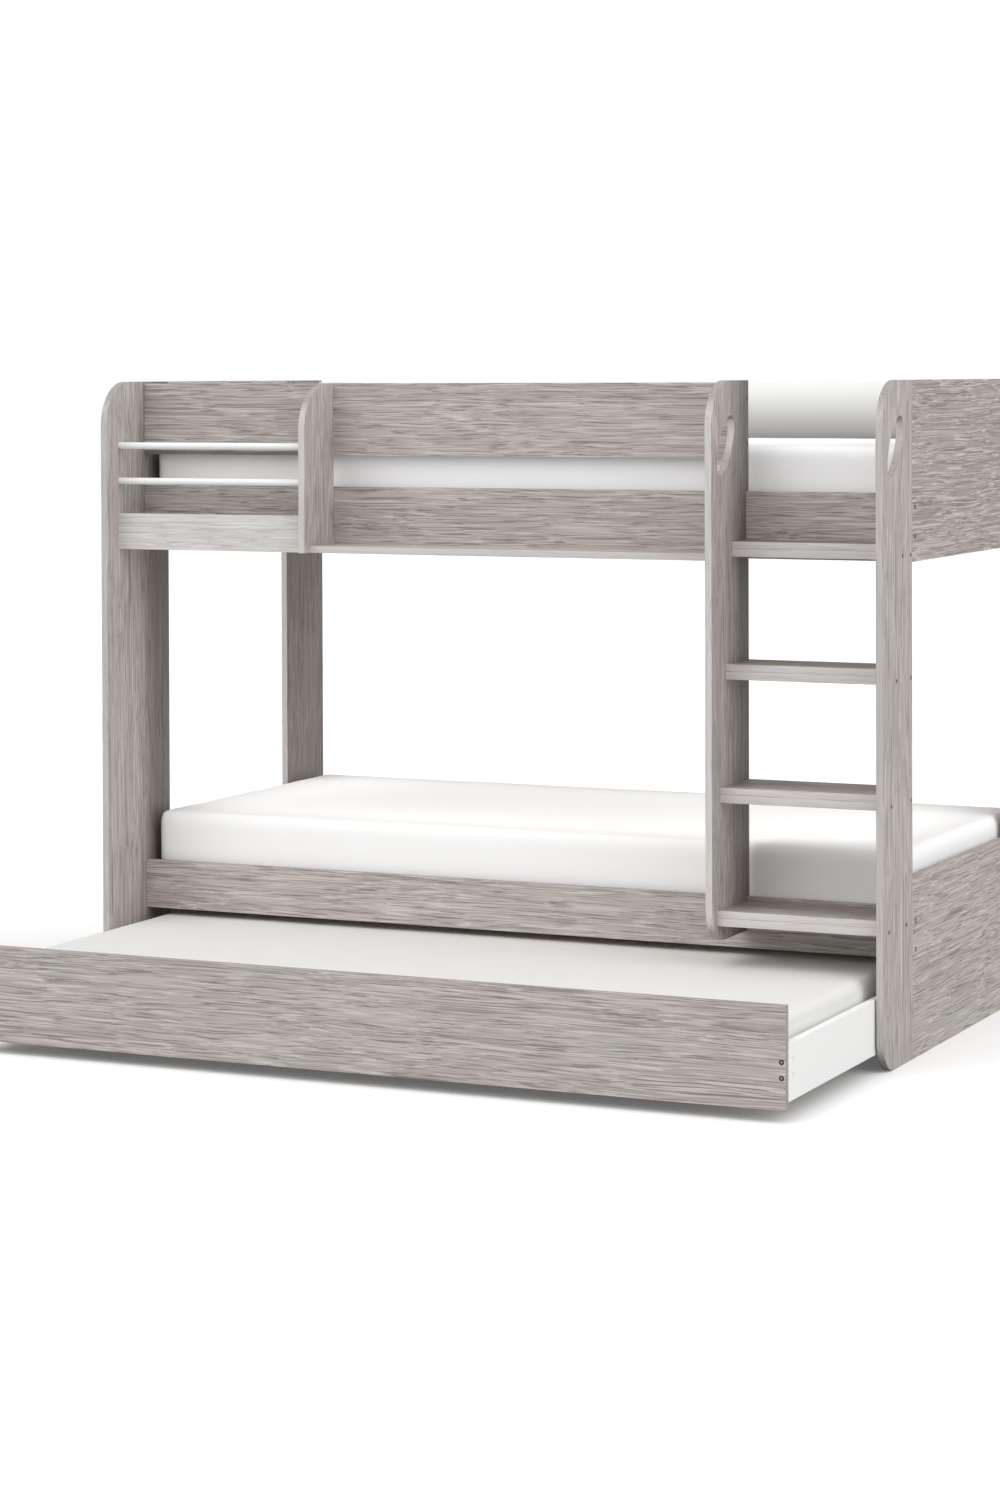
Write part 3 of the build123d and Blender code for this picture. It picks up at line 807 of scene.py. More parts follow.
def loose_parts(node: bpy.types.Object) -> list[np.ndarray]:
    """Returns the points of each separate solid of a CAD node, in a steady order.

    Args:
        node: The node's object.

    Returns:
        One array of points for each solid.
    """
    mesh = node.data
    points = points_of(mesh)
    keys = [tuple(key) for key in np.round(points * 1e5).astype(int)]
    parent = {key: key for key in keys}

    def root(key: tuple) -> tuple:
        """Returns the key that stands for a key's solid."""
        while parent[key] != key:
            parent[key] = parent[parent[key]]
            key = parent[key]
        return key

    for face in mesh.polygons:
        first = root(keys[face.vertices[0]])
        for vertex in face.vertices[1:]:
            parent[root(keys[vertex])] = first
    solids: dict[tuple, list[int]] = {}
    for index, key in enumerate(keys):
        solids.setdefault(root(key), []).append(index)
    parts = [points[indices] for indices in solids.values()]
    return sorted(parts, key=lambda part: tuple(np.round(part.mean(axis=0), 4)))


def corners(part: np.ndarray) -> tuple[np.ndarray, np.ndarray]:
    """Returns the low and the high corner of a solid's points."""
    return part.min(axis=0), part.max(axis=0)


@dataclass(frozen=True)
class Seat:
    """Where a turned piece sits: the middle of its head, and the way that its head looks."""

    place: Vector
    outward: Vector

    def matrix(self) -> Matrix:
        """Returns the move that takes a piece along Z, with its head at the origin, to the seat."""
        turn = self.outward.to_track_quat("Z", "X").to_matrix().to_4x4()
        return Matrix.Translation(self.place) @ turn


def right_end(low: Vector | np.ndarray, high: Vector | np.ndarray) -> Seat:
    """Returns the seat on the right face of a box."""
    return Seat(Vector((high[0], (low[1] + high[1]) / 2, (low[2] + high[2]) / 2)), RIGHTWARD)


def headed_seats(node: bpy.types.Object) -> list[Seat]:
    """Returns the seats of a node's headed fasteners, whose head is their wider end."""
    seats = []
    for part in loose_parts(node):
        low, high = corners(part)
        axis = int(np.argmax(high - low))
        middle = (low + high) / 2
        reach = []
        for end in (low[axis], high[axis]):
            ring = part[np.abs(part[:, axis] - end) < 1e-4]
            reach.append(np.linalg.norm(np.delete(ring - middle, axis, axis=1), axis=1).max())
        at_high = reach[1] > reach[0]
        middle[axis] = high[axis] if at_high else low[axis]
        outward = Vector((0, 0, 0))
        outward[axis] = 1.0 if at_high else -1.0
        seats.append(Seat(Vector(middle), outward))
    return seats


@dataclass(frozen=True)
class Turned:
    """A turned piece: rings from its far end to its head, each a radius and a height.

    A ring may follow the recess of a drive instead of a circle, and a ring's material holds
    from that ring to the next.
    """

    rings: tuple[Ring, ...]
    sides: int = 24

    def points(self) -> list[list[Vector]]:
        """Returns each ring's points."""
        made = []
        for radius, height, drive, _ in self.rings:
            ring = []
            for step in range(self.sides):
                turn = 2 * math.pi * step / self.sides
                reach = radius
                if drive is Drive.SLOT:
                    flat = abs(math.sin(turn)) * radius * 3
                    reach = radius * min(1.0, radius / flat if flat > radius else 1.0)
                elif drive:
                    part = 2 * math.pi / drive.value
                    reach = radius / math.cos((turn % part) - part / 2)
                ring.append(Vector((reach * math.cos(turn), reach * math.sin(turn), height)))
            made.append(ring)
        return made

    def add_to(self, work: bmesh.types.BMesh, seat: Seat) -> None:
        """Adds a copy of the piece to a mesh at a seat."""
        place = seat.matrix()
        rings = [[work.verts.new(place @ point) for point in ring] for ring in self.points()]
        for (outer, inner), (*_, material) in zip(zip(rings, rings[1:]), self.rings):
            for step in range(self.sides):
                after = (step + 1) % self.sides
                face = work.faces.new((outer[step], outer[after], inner[after], inner[step]))
                face.material_index = material
        work.faces.new(rings[0][::-1]).material_index = self.rings[0][3]
        work.faces.new(rings[-1]).material_index = self.rings[-1][3]


def plain(*outline: tuple[float, float]) -> tuple[Ring, ...]:
    """Returns round rings in the first material from their radii and heights."""
    return tuple((radius, height, None, 0) for radius, height in outline)


def pin(radius: float, end_radius: float, length: float, soft: float, sides: int) -> Turned:
    """Makes a pin with softened ends, whose head is at the origin."""
    ends = (
        (end_radius, -length),
        (radius, -length + soft),
        (radius, -soft),
        (end_radius, 0.0),
    )
    return Turned(plain(*ends), sides)


def socket_head(
    radius: float, drive_radius: float, drive: Drive, shank: float, reach: float
) -> Turned:
    """Makes a fastener with a low domed head, a recess for its key and a shank.

    Args:
        radius: The head's radius.
        drive_radius: The recess's inner radius.
        drive: The recess's shape.
        shank: The shank's radius.
        reach: How far the shank goes in.

    Returns:
        The turned piece. Its first material is the head's, and its second the recess's.
    """
    proud = 0.45 * MM
    outside = plain(
        (shank * 0.55, -reach),
        (shank, -reach + shank * 0.5),
        (shank, -3.9 * MM),
        (radius, -3.2 * MM),
        (radius, 0.05 * MM),
        (radius * 0.93, proud * 0.75),
        (radius * 0.72, proud),
    )
    recess = ((1.12, proud), (1.0, 0.1 * MM), (1.0, -1.6 * MM))
    inside = tuple((drive_radius * share, height, drive, 1) for share, height in recess)
    return Turned(outside + inside)


def barrel(radius: float, depth: float) -> Turned:
    """Makes a barrel nut with a chamfered, slotted face."""
    body = pin(radius, radius * 0.9, depth, 0.4 * MM, 24).rings
    slot = ((radius * 0.62, 0.0, Drive.SLOT, 1), (radius * 0.56, -1.2 * MM, Drive.SLOT, 1))
    return Turned(body + slot)


def turned_piece(
    name: str, shape: Turned, seats: list[Seat], *coatings: Coating
) -> bpy.types.Object:
    """Puts copies of a turned piece into the scene as one object."""
    work = bmesh.new()
    for seat in seats:
        shape.add_to(work, seat)
    bmesh.ops.recalc_face_normals(work, faces=work.faces)
    mesh = mesh_of(work, name)
    shade_by_angle(mesh)
    return show_mesh(name, mesh, *(coating.material() for coating in coatings))


@dataclass(frozen=True)
class Lobe:
    """One soft light of the studio: a round glow in the sky."""

    azimuth: float
    elevation: float
    tightness: float
    strength: float

    def direction(self) -> tuple[float, float, float]:
        """Returns the way to the light, at azimuth 0 from the front and 90 from the right."""
        turn, rise = math.radians(self.azimuth), math.radians(self.elevation)
        return (math.sin(turn) * math.cos(rise), -math.cos(turn) * math.cos(rise), math.sin(rise))


@dataclass
class Stage:
    """The floor, the light and the camera."""

    camera_place: tuple[float, float, float] = (3.3937, -7.6070, 1.5053)
    camera_yaw: float = 25.0453
    camera_pitch: float = -0.9209
    camera_roll: float = 0.2031
    focal_px: float = 3591.5
    principal_px: tuple[float, float] = (458.16, 430.22)
    photo_px: tuple[int, int] = (1000, 1500)
    sensor_mm: float = 36.0
    floor_size: float = 60.0
    floor_lift: float = 0.10
    floor_white: Colour = tone(246, 246, 246)
    floor_bounce: Colour = (0.5, 0.5, 0.5, 1.0)
    bunk_light: float = 2.0
    bunk_light_size: tuple[float, float] = (1.78, 0.82)
    bunk_light_place: tuple[float, float, float] = (0.0, 0.388, 1.06)
    bunk_light_spread: float = 30.0
    bunk_light_colour: tuple[float, float, float] = (0.95, 0.98, 1.0)
    base_light: float = 0.23
    lobes: tuple[Lobe, ...] = (
        Lobe(-34.0, 38.0, 5.0, 2.05),
        Lobe(80.0, 26.0, 5.0, 2.4),
        Lobe(0.0, 88.0, 5.0, 0.85),
    )

    def build(self) -> None:
        """Builds all of the stage."""
        self._camera()
        self._world()
        self._floor()
        self._bunk_light()

    def _camera(self) -> None:
        """Sets the camera where the photograph was taken from."""
        yaw, pitch, roll = (
            math.radians(a) for a in (self.camera_yaw, self.camera_pitch, self.camera_roll)
        )
        forward = Vector(
            (-math.sin(yaw) * math.cos(pitch), math.cos(yaw) * math.cos(pitch), math.sin(pitch))
        )
        level = Vector((math.cos(yaw), math.sin(yaw), 0.0))
        down = forward.cross(level)
        right = level * math.cos(roll) + down * math.sin(roll)
        down = down * math.cos(roll) - level * math.sin(roll)
        data = bpy.data.cameras.new("photo_camera")
        data.sensor_fit = "AUTO"
        data.sensor_width = self.sensor_mm
        wide, tall = self.photo_px
        data.lens = self.sensor_mm * self.focal_px / tall
        data.shift_x = (wide / 2 - self.principal_px[0]) / tall
        data.shift_y = (self.principal_px[1] - tall / 2) / tall
        data.clip_end = 200.0
        camera = bpy.data.objects.new("photo_camera", data)
        turned = Matrix((right, -down, -forward)).transposed().to_4x4()
        camera.matrix_world = Matrix.Translation(Vector(self.camera_place)) @ turned
        bpy.context.scene.collection.objects.link(camera)
        bpy.context.scene.camera = camera

    def _world(self) -> None:
        """Lights the scene with soft glows in the sky, and shows white behind it."""
        world = bpy.data.worlds.new("studio")
        world.use_nodes = True
        bpy.context.scene.world = world
        sheet = NodeSheet(world.node_tree)
        place = sheet.add("TexCoord").outputs["Generated"]
        total = self.base_light
        for lobe in self.lobes:
            sockets = {0: place, 1: lobe.direction()}
            dot = sheet.add("VectorMath", sockets, operation="DOT_PRODUCT").outputs["Value"]
            glow = sheet.math("POWER", sheet.math("MAXIMUM", dot, 0.0), lobe.tightness)
            total = sheet.math("ADD", sheet.product(glow, lobe.strength), total)
        light = sheet.add("Background", {"Color": WHITE, "Strength": total})
        shown = sheet.add("Background", {"Color": WHITE, "Strength": 1.0})
        path = sheet.add("LightPath")
        glossy = sheet.math("MAXIMUM", path.outputs["Is Camera Ray"], path.outputs["Is Glossy Ray"])
        seen = sheet.math("MAXIMUM", glossy, path.outputs["Is Transmission Ray"])
        mixed = sheet.add("MixShader", {0: seen, 1: light.outputs[0], 2: shown.outputs[0]})
        sheet.add("OutputWorld", {0: mixed.outputs[0]})

    def _bunk_light(self) -> None:
        """Hangs a soft light between the bunks, turned down at the lower mattress."""
        data = bpy.data.lights.new("bunk_light", "AREA")
        data.shape = "RECTANGLE"
        data.size, data.size_y = self.bunk_light_size
        data.energy, data.spread = self.bunk_light, math.radians(self.bunk_light_spread)
        data.color = self.bunk_light_colour
        lamp = bpy.data.objects.new("bunk_light", data)
        lamp.location = self.bunk_light_place
        lamp.visible_camera = lamp.visible_glossy = False
        bpy.context.scene.collection.objects.link(lamp)

    def _floor(self) -> None:
        """Lays a floor that the camera sees as white and that keeps the shadows."""
        material, sheet, shader = new_material("white_floor")
        seen = sheet.add("LightPath").outputs["Is Camera Ray"]
        colour = sheet.mix(seen, self.floor_bounce, self.floor_white)
        sheet.feed(shader.inputs["Base Color"], colour)
        shader.inputs["Roughness"].default_value = 0.9
        shader.inputs["Specular IOR Level"].default_value = 0.0
        lift = sheet.product(seen, self.floor_lift)
        glow = sheet.add("Emission", {"Color": WHITE, "Strength": lift})
        total = sheet.add("AddShader", {0: shader.outputs[0], 1: glow.outputs[0]})
        output = next(node for node in sheet.tree.nodes if node.type == "OUTPUT_MATERIAL")
        sheet.feed(output.inputs[0], total.outputs[0])
        half = self.floor_size / 2
        corners = [(x, y, 0.0) for x, y in box_outline((-half, -half), (half, half))]
        mesh = bpy.data.meshes.new("floor")
        mesh.from_pydata(corners, [], [(0, 1, 2, 3)])
        show_mesh("floor", mesh, material)


@dataclass
class BedFrame:
    """The ends, rails, guards, pocket, ledge and ladder."""

    top_round: float = 105 * MM
    foot_round: float = 72 * MM
    hole_length: float = 153 * MM
    hole_width: float = 73 * MM
    hole_tilt: float = 35.5
    hole_setback: float = 88.5 * MM
    hole_drop: float = 143 * MM
    rod_softening: float = 0.8 * MM

    def upright_outline(self, node: str, foot: bool) -> Outline:
        """Returns an upright's outline, rounded at its front top and, if asked, its front foot."""
        (_, front, bottom), (_, back, top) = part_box(node)
        points = [(back, bottom), (back, top)]
        points += arc((front + self.top_round, top - self.top_round), self.top_round, 90, 180)
        if foot:
            centre = (front + self.foot_round, bottom + self.foot_round)
            points += arc(centre, self.foot_round, 180, 270)
        else:
            points.append((front, bottom))
        return points

    def stile_outline(self) -> Outline:
        """Returns the stile's outline, notched over both rails."""
        low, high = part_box("ladder_stile")
        rail_low, rail_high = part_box("upper_front_rail")
        face, lower_top = rail_low.y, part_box("lower_front_rail")[1].z
        notches = [
            (face, low.z),
            (face, lower_top),
            (high.y, lower_top),
            (high.y, rail_low.z),
            (face, rail_low.z),
            (face, rail_high.z),
            (high.y, rail_high.z),
            (high.y, high.z),
        ]
        return notches + self.upright_outline("ladder_stile", foot=True)[2:]

    def hand_hole(self) -> Outline:
        """Returns the slanted oval hand hole's outline."""
        low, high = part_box("right_front_leg")
        centre = (low.y + self.hole_setback, high.z - self.hole_drop)
        lean = math.radians(self.hole_tilt)
        points = []
        for degrees in range(0, 360, 5):
            turn = math.radians(degrees)
            along = self.hole_length / 2 * math.cos(turn)
            across = self.hole_width / 2 * math.sin(turn)
            points.append(
                (
                    centre[0] + along * math.sin(lean) + across * math.cos(lean),
                    centre[1] + along * math.cos(lean) - across * math.sin(lean),
                )
            )
        return points

    def build(self) -> None:
        """Builds every board of the bed."""
        x, y, z = Axis.X, Axis.Y, Axis.Z
        hole = self.hand_hole()
        right_face = (x, 1, y)
        rail_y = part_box("upper_front_rail")[0].y
        # Painted shade on the left front leg's right face, darker towards the rail behind it.
        by_bed = Shade("by_bed", *right_face, rail_y - 60 * MM, rail_y + 60 * MM, 0.7)
        for side, bore, shade in (("left", None, by_bed), ("right", hole, None)):
            node = f"{side}_front_leg"
            outline = self.upright_outline(node, foot=True)
            Board(node, x, z, UPRIGHT_OAK, outline=outline, hole=bore, shade=shade).build()
        # Painted shade on the stile's right face, darker towards the rail at its back.
        by_rail = Shade("by_rail", *right_face, rail_y - 150 * MM, rail_y + 10 * MM, 0.75)
        Board("ladder_stile", x, z, outline=self.stile_outline(), hole=hole, shade=by_rail).build()
        outline = self.upright_outline("pocket_divider", foot=False)
        Board("pocket_divider", x, z, outline=outline).build()
        rear_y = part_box("left_rear_leg")[0].y
        # Painted shade on the rear legs' right faces, darker towards the back; end_x of 0 keeps it
        # to the left rear leg.
        at_rear = Shade("at_rear", *right_face, rear_y - 200 * MM, rear_y - 50 * MM, 0.5, 0.0)
        for side in ("left", "right"):
            Board(f"{side}_rear_leg", x, z, shade=at_rear).build()
            for level, finish in (("upper", END_OAK), ("lower", OAK)):
                Board(f"{side}_{level}_end_panel", x, y, finish).build()
        for side in ("front", "rear"):
            for level in ("upper", "lower"):
                Board(f"{level}_{side}_rail", y, x).build()
        self._guards()
        Board("pocket_lip", y, x, PALE_OAK, "pale_oak_laminate").build()
        for node in ("pocket_shelf", "ledge_board"):
            Board(node, z, x).build()
        # Painted shade on the treads' tops, darker towards the back where the tread above shades
        # them.
        on_tread = Shade("on_tread", z, 1, y, rail_y - 210 * MM, rail_y - 60 * MM, 0.55)
        for step in range(1, 5):
            Board(f"ladder_tread_{step}", z, x, shade=on_tread).build()
            Board(f"tread_base_{step}", z, x).build()
        for level in ("upper", "lower"):
            for side in ("front", "rear"):
                cleat = (f"{level}_{side}_cleat", y, x, PINE, "pine")
                Board(*cleat, softening=SAWN_EDGE).build()
        self._rods()

    def _guards(self) -> None:
        """Builds the front guard and the white rear one, with painted shade in their low parts."""
        guard_low, guard_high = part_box("front_guard_rail")
        pocket_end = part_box("pocket_divider")[0].x
        front = (Axis.Y, -1, Axis.Z)
        # Painted shadow of the upper pocket rod: a dark strip along the front guard's lowest few
        # millimetres, left of the pocket divider.
        dark_z = guard_low.z + 8.5 * MM
        under_rod = Shade("under_rod", *front, dark_z + 2.5 * MM, dark_z, 0.72, pocket_end)
        Board("front_guard_rail", Axis.Y, Axis.X, shade=under_rod).build()
        # Painted shade on the white rear guard's front face, darker towards its bottom behind the
        # mattress.
        behind_bedding = Shade(
            "behind_bedding", *front, guard_high.z + 25 * MM, guard_low.z + 10 * MM, 0.72
        )
        rear = ("rear_guard_board", Axis.Y, Axis.X, WHITE_BOARD, "white_laminate")
        Board(*rear, shade=behind_bedding).build()

    def _rods(self) -> None:
        """Turns the two white rods of the pocket."""
        for level in ("lower", "upper"):
            node = f"{level}_pocket_rod"
            low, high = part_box(node)
            radius, soft = (high.z - low.z) / 2, self.rod_softening
            shape = pin(radius, radius - soft, high.x - low.x, soft, sides=48)
            piece = turned_piece(f"{node}_turned", shape, [right_end(low, high)], WHITE_PAINT)
            finish_piece(piece, BED, "white_paint", node)


class TrundleBox:
    """The trundle's boards, with the cross rails that carry its castors."""

    def build(self) -> None:
        """Builds every board of the trundle."""
        x, y, z = Axis.X, Axis.Y, Axis.Z
        Board("trundle_front", y, x, body=TRUNDLE).build()
        white = (WHITE_BOARD, "white_laminate", TRUNDLE)
        sawn = (PINE, "pine", TRUNDLE, SAWN_EDGE)
        Board("trundle_back", y, x, *white).build()
        for side in ("left", "right"):
            Board(f"trundle_{side}_side", x, y, *white).build()
            Board(f"trundle_{side}_cross_rail", z, y, *sawn).build()
        for side in ("front", "back"):
            Board(f"trundle_{side}_cleat", y, x, *sawn).build()


@dataclass
class SlatBases:
    """The rows of slats under the three mattresses."""

    bunk_count: int = 14
    bunk_width: float = 70 * MM
    trundle_count: int = 13
    trundle_width: float = 60 * MM

    def build(self) -> None:
        """Builds the three rows."""
        for level in ("upper", "lower"):
            BarRow(f"{level}_slats", self.bunk_count, self.bunk_width, BED).build()
        BarRow("trundle_slats", self.trundle_count, self.trundle_width, TRUNDLE).build()


@dataclass
class Mattress:
    """A foam mattress in a knitted cover, filled out by a cloth simulation."""

    node: str
    body: str
    cover: Cover
    slot: str
    corner_radius: float = 18 * MM
    edge_radius: float = 13 * MM
    start_gap: float = 3 * MM
    side_swell: float = 3 * MM
    top_swell: float = 3.5 * MM
    voxel: float = 12 * MM
    lump_scale: float = 6.0
    lump_height: float = 0.7 * MM
    settling: float = 0.8 * MM
    pressure: float = 4.0
    last_frame: int = 20

    def build(self) -> None:
        """Builds the mattress in its node's place."""
        low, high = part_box(self.node)
        gap = self.start_gap
        start_low = low + Vector((gap, gap, 0.5 * MM))
        start_high = high - Vector((gap, gap, gap))
        piece = self._rounded_block(start_low, start_high)
        self._fill_out(piece, low.z)
        self._subdivide(piece)
        piece.name = f"{self.node}_filled"
        finish_piece(piece, self.body, self.slot, self.node)

    def _rounded_block(self, low: Vector, high: Vector) -> bpy.types.Object:
        """Makes a block with round corners and soft edges, meshed evenly."""
        work = bmesh.new()
        add_box(work, low, high)
        half = (high.z - low.z) / 2
        upright = [e for e in work.edges if abs(e.verts[0].co.z - e.verts[1].co.z) > half]
        soften(work, upright, self.corner_radius, 10)
        rims = [
            edge
            for edge in work.edges
            if abs(edge.verts[0].co.z - edge.verts[1].co.z) < MM
            and any(abs(face.normal.z) < 0.5 for face in edge.link_faces)
        ]
        soften(work, rims, self.edge_radius, 6)
        mesh = mesh_of(work, self.node)
        piece = show_mesh(f"{self.node}_block", mesh, self.cover.material())
        remesh = piece.modifiers.new("even_mesh", "REMESH")
        remesh.mode = "VOXEL"
        remesh.voxel_size = self.voxel
        self._apply(piece)
        return piece

    def _apply(self, piece: bpy.types.Object) -> None:
        """Turns the piece's modifiers into its mesh."""
        shaped = piece.evaluated_get(bpy.context.evaluated_depsgraph_get())
        mesh = bpy.data.meshes.new_from_object(shaped)
        piece.modifiers.clear()
        piece.data = mesh
        mesh.materials.clear()
        mesh.materials.append(self.cover.material())

    def _fill_out(self, piece: bpy.types.Object, floor_z: float) -> None:
        """Swells the cover over its foam and caps how far each point moves."""
        scene = bpy.context.scene
        start = points_of(piece.data)
        cloth = piece.modifiers.new("cover", "CLOTH")
        how = cloth.settings
        how.quality, how.mass = 4, 0.3
        how.tension_stiffness = how.compression_stiffness = 18.0
        how.bending_stiffness = 1.5
        how.use_pressure = True
        how.uniform_pressure_force = self.pressure
        how.effector_weights.gravity = 0.0
        cloth.point_cache.frame_start = 1
        cloth.point_cache.frame_end = self.last_frame
        for frame in range(1, self.last_frame + 1):
            scene.frame_set(frame)
        self._apply(piece)
        scene.frame_set(1)
        caps = np.array((self.side_swell, self.side_swell, self.top_swell))
        moved = start + np.clip(points_of(piece.data) - start, -caps, caps)
        moved[:, 2] = np.maximum(moved[:, 2], floor_z)
        move_points(piece.data, moved)
        LOG.info("%s swelled by up to %.1f mm", self.node, np.abs(moved - start).max() / MM)

    def _subdivide(self, piece: bpy.types.Object) -> None:
        """Relaxes the mesh once, adds a faint unevenness and shades it smooth."""
        smooth = piece.modifiers.new("relax", "SMOOTH")
        smooth.factor, smooth.iterations = 0.5, 3
        finer = piece.modifiers.new("finer", "SUBSURF")
        finer.levels = finer.render_levels = 1
        self._apply(piece)
        spots = points_of(piece.data)
        normals = np.zeros(spots.size, dtype=np.float32)
        piece.data.vertex_normals.foreach_get("vector", normals)
        lumps = np.array([noise.noise(Vector(spot) * self.lump_scale) for spot in spots])
        rise = lumps * self.lump_height - self.settling
        move_points(piece.data, spots + normals.reshape(-1, 3) * rise[:, None])
        piece.data.shade_smooth()


class Bedding:
    """The three mattresses."""

    def build(self) -> None:
        """Builds the mattresses."""
        for level in ("upper", "lower"):
            Mattress(f"{level}_mattress", BED, WHITE_COVER, "mattress_cover").build()
        trundle = ("trundle_mattress", TRUNDLE, KNIT_COVER, "trundle_mattress_cover")
        Mattress(*trundle, edge_radius=10 * MM, top_swell=4.5 * MM).build()


@dataclass
class Fittings:
    """Bolts, barrel nuts and screws."""

    frame: dict
    bolt_radius: float = 5.6 * MM
    screw_radius: float = 4.6 * MM
    small_radius: float = 3.4 * MM
    cleat_screws: int = 7
    slat_inset: float = 13 * MM

    def build(self) -> None:
        """Builds every fitting."""
        nodes = self.frame["nodes"]
        bolt = socket_head(self.bolt_radius, 1.9 * MM, Drive.HEX, shank=3.0 * MM, reach=56 * MM)
        screw = socket_head(self.screw_radius, 1.5 * MM, Drive.HEX, shank=2.9 * MM, reach=47 * MM)
        for node, shape, body, recess in (
            ("frame_bolts", bolt, BED, DARK_STEEL_AND_RECESS_SHADE),
            ("trundle_bolts", bolt, TRUNDLE, BRIGHT_STEEL),
            ("connector_screws", screw, BED, DARK_STEEL_AND_RECESS_SHADE),
        ):
            seats = headed_seats(nodes[node])
            piece = turned_piece(f"{node}_turned", shape, seats, DARK_STEEL_AND_RECESS_SHADE, recess)
            finish_piece(piece, body, "dark_steel", node)
        nut = barrel(radius=4.9 * MM, depth=13.8 * MM)
        for node, body in (("frame_barrel_nuts", BED), ("trundle_barrel_nuts", TRUNDLE)):
            seats = self._nut_seats(nodes[node], body)
            # The nut's slot is coloured dark steel: painted shade in the zinc nut's recess.
            piece = turned_piece(f"{node}_turned", nut, seats, ZINC, DARK_STEEL_AND_RECESS_SHADE)
            finish_piece(piece, body, "zinc_steel", node)
        self._small_screws()

    def _nut_seats(self, node: bpy.types.Object, body: str) -> list[Seat]:
        """Returns the barrel nuts' seats: the bed's look to the back, the trundle's outwards."""
        seats = []
        for part in loose_parts(node):
            low, high = corners(part)
            middle = Vector((low + high) / 2)
            if body == BED:
                middle.y = high[1]
                outward = BACKWARD
            else:
                on_right = middle.x > 0
                middle.x = high[0] if on_right else low[0]
                outward = RIGHTWARD if on_right else LEFTWARD
            seats.append(Seat(middle, outward))
        return seats

    def _small_screws(self) -> None:
        """Drives small screws through the cleats and slats."""
        key = (1.3 * MM, Drive.SQUARE)
        small = socket_head(self.small_radius, *key, shank=1.6 * MM, reach=12 * MM)
        bed_seats: list[Seat] = []
        for level in ("upper", "lower"):
            for side, outward in (("front", BACKWARD), ("rear", FORWARD)):
                bed_seats += self._along(f"{level}_{side}_cleat", outward)
            bed_seats += self._on_slats(
                f"{level}_slats", SlatBases.bunk_count, SlatBases.bunk_width
            )
        trundle_seats = self._on_slats(
            "trundle_slats", SlatBases.trundle_count, SlatBases.trundle_width
        )
        for side, outward in (("front", BACKWARD), ("back", FORWARD)):
            trundle_seats += self._along(f"trundle_{side}_cleat", outward)
        for body, seats in ((BED, bed_seats), (TRUNDLE, trundle_seats)):
            # The screws' recesses are coloured dark steel: painted shade in the zinc screws'
            # recesses.
            piece = turned_piece(f"{body}_small_screws", small, seats, ZINC, DARK_STEEL_AND_RECESS_SHADE)
            finish_piece(piece, body, "zinc_steel")

    def _along(self, node: str, outward: Vector) -> list[Seat]:
        """Returns screw seats spaced along a cleat's free face."""
        count = self.cleat_screws
        low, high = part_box(node)
        y = high.y if outward.y > 0 else low.y
        z = (low.z + high.z) / 2
        pitch = (high.x - low.x) / count
        return [Seat(Vector((low.x + (k + 0.5) * pitch, y, z)), outward) for k in range(count)]

    def _on_slats(self, node: str, count: int, width: float) -> list[Seat]:
        """Returns the seats of one screw at each end of each slat."""
        low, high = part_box(node)
        pitch = (high.x - low.x - width) / (count - 1)
        return [
            Seat(Vector((low.x + width / 2 + k * pitch, y, high.z - 0.4 * MM)), UPWARD)
            for k in range(count)
            for y in (low.y + self.slat_inset, high.y - self.slat_inset)
        ]


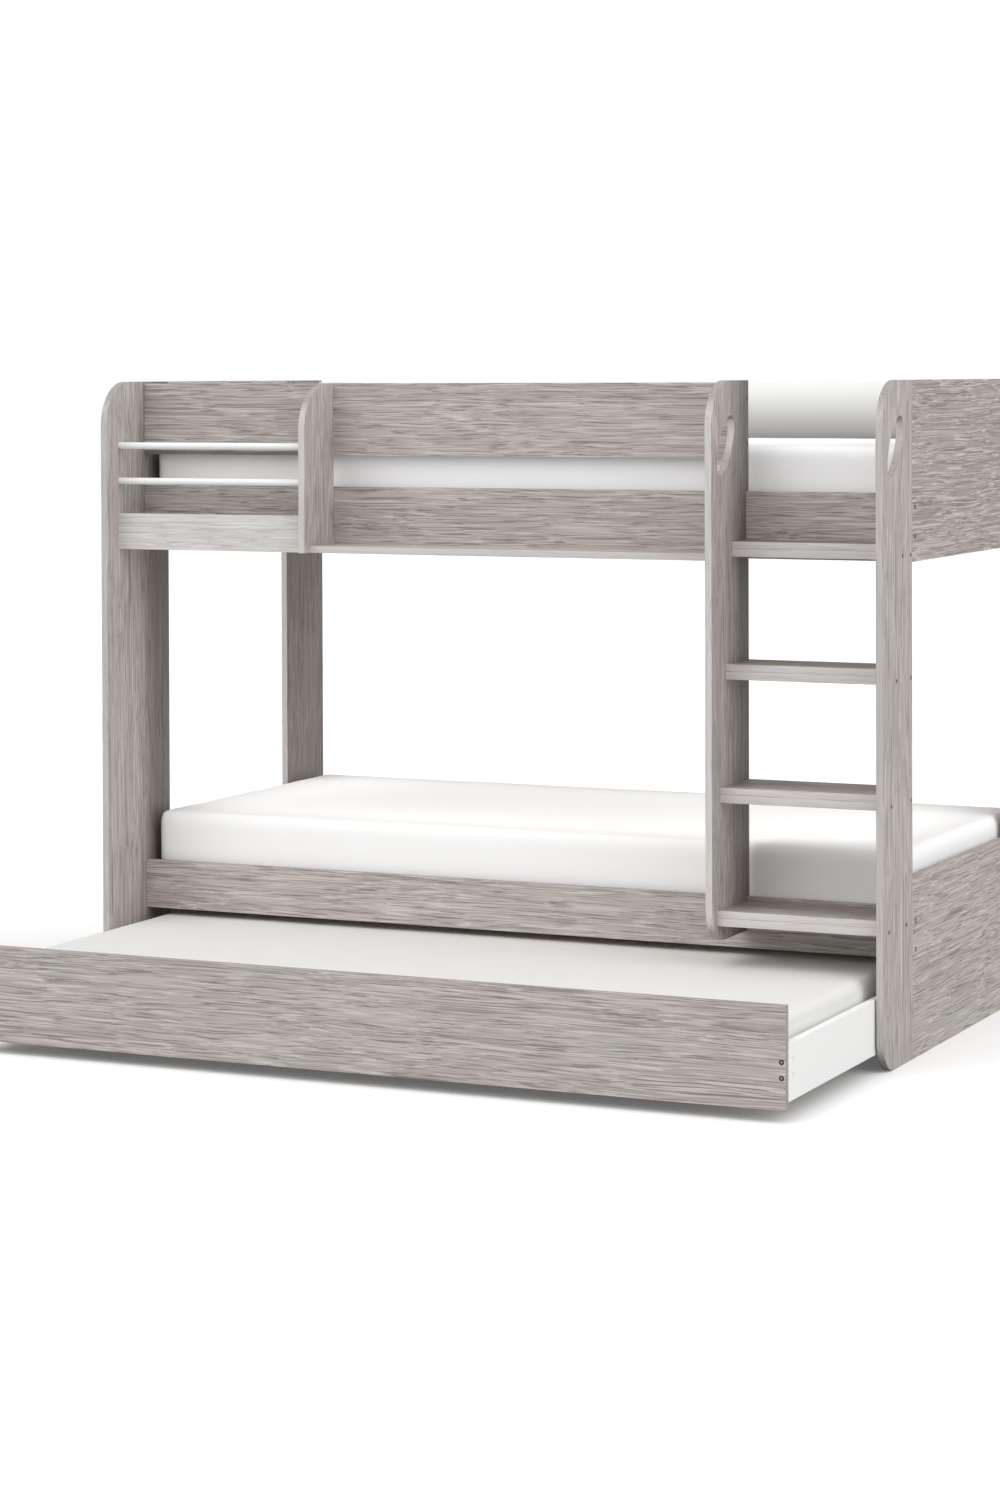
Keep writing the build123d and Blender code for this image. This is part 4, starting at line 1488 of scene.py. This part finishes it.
@dataclass
class Castors:
    """The castors' wheels and axles."""

    frame: dict
    bodies: tuple[str, ...] = (
        "front_left_wheel",
        "front_right_wheel",
        "back_left_wheel",
        "back_right_wheel",
    )
    bore: float = 3.2 * MM
    axle_radius: float = 2.95 * MM
    axle_softening: float = 1.2 * MM

    def wheel(self, radius: float, width: float) -> Turned:
        """Returns a wheel with a rounded tread, a dished side and a hub, turned about its axle."""
        half, bore = width / 2, self.bore
        dish, hub = half - 3.0 * MM, half - 0.2 * MM
        side = (
            (radius, half - 3.5 * MM, 0),
            (radius - 0.9 * MM, half - 1.2 * MM, 0),
            (radius - 3.2 * MM, half, 0),
            (radius * 0.78, half, 1),
            (radius * 0.74, dish, 1),
            (bore * 2.4, dish, 1),
            (bore * 2.2, hub, 1),
            (bore, hub, 1),
        )
        far = [(r, -h, None, int(r < radius * 0.78)) for r, h, _ in reversed(side)]
        near = [(r, h, None, material) for r, h, material in side]
        return Turned(tuple(far + near), sides=64)

    def build(self) -> None:
        """Builds the wheels and axles."""
        for number, body in enumerate(self.bodies, start=1):
            node = f"castor_wheel_{number}"
            low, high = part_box(node)
            shape = self.wheel((high.z - low.z) / 2, high.x - low.x)
            seat = Seat((low + high) / 2, RIGHTWARD)
            piece = turned_piece(f"{node}_turned", shape, [seat], BLACK_PLASTIC, GREY_PLASTIC)
            finish_piece(piece, body, "castor_plastic", node)
        seats, reach = [], 0.0
        for part in loose_parts(self.frame["nodes"]["castor_axles"]):
            low, high = corners(part)
            reach = high[0] - low[0]
            seats.append(right_end(low, high))
        end_radius = self.axle_radius * 0.6
        shape = pin(self.axle_radius, end_radius, reach, self.axle_softening, sides=24)
        piece = turned_piece("castor_axles_turned", shape, seats, ZINC)
        finish_piece(piece, TRUNDLE, "zinc_steel", "castor_axles")


def dress_rest(frame: dict) -> None:
    """Gives every CAD node that is still shown its finish."""
    finishes = {
        "wooden_dowels": PINE.material(Axis.Y, Axis.Z),
        "castor_brackets": ZINC.material(),
    }
    for name, node in frame["nodes"].items():
        if node.hide_render:
            continue
        LOG.info("%s keeps its CAD shape", name)
        node.data.materials.clear()
        node.data.materials.append(finishes[name])


def main() -> None:
    """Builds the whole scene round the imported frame."""
    logging.basicConfig(level=logging.INFO, format="%(message)s")
    for thing in list(bpy.data.objects):
        bpy.data.objects.remove(thing)
    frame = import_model()
    Stage().build()
    BedFrame().build()
    TrundleBox().build()
    SlatBases().build()
    Bedding().build()
    Fittings(frame).build()
    Castors(frame).build()
    dress_rest(frame)
    bpy.context.scene.view_settings.view_transform = "Standard"
    bpy.context.view_layer.update()


if __name__ == "__main__":
    main()
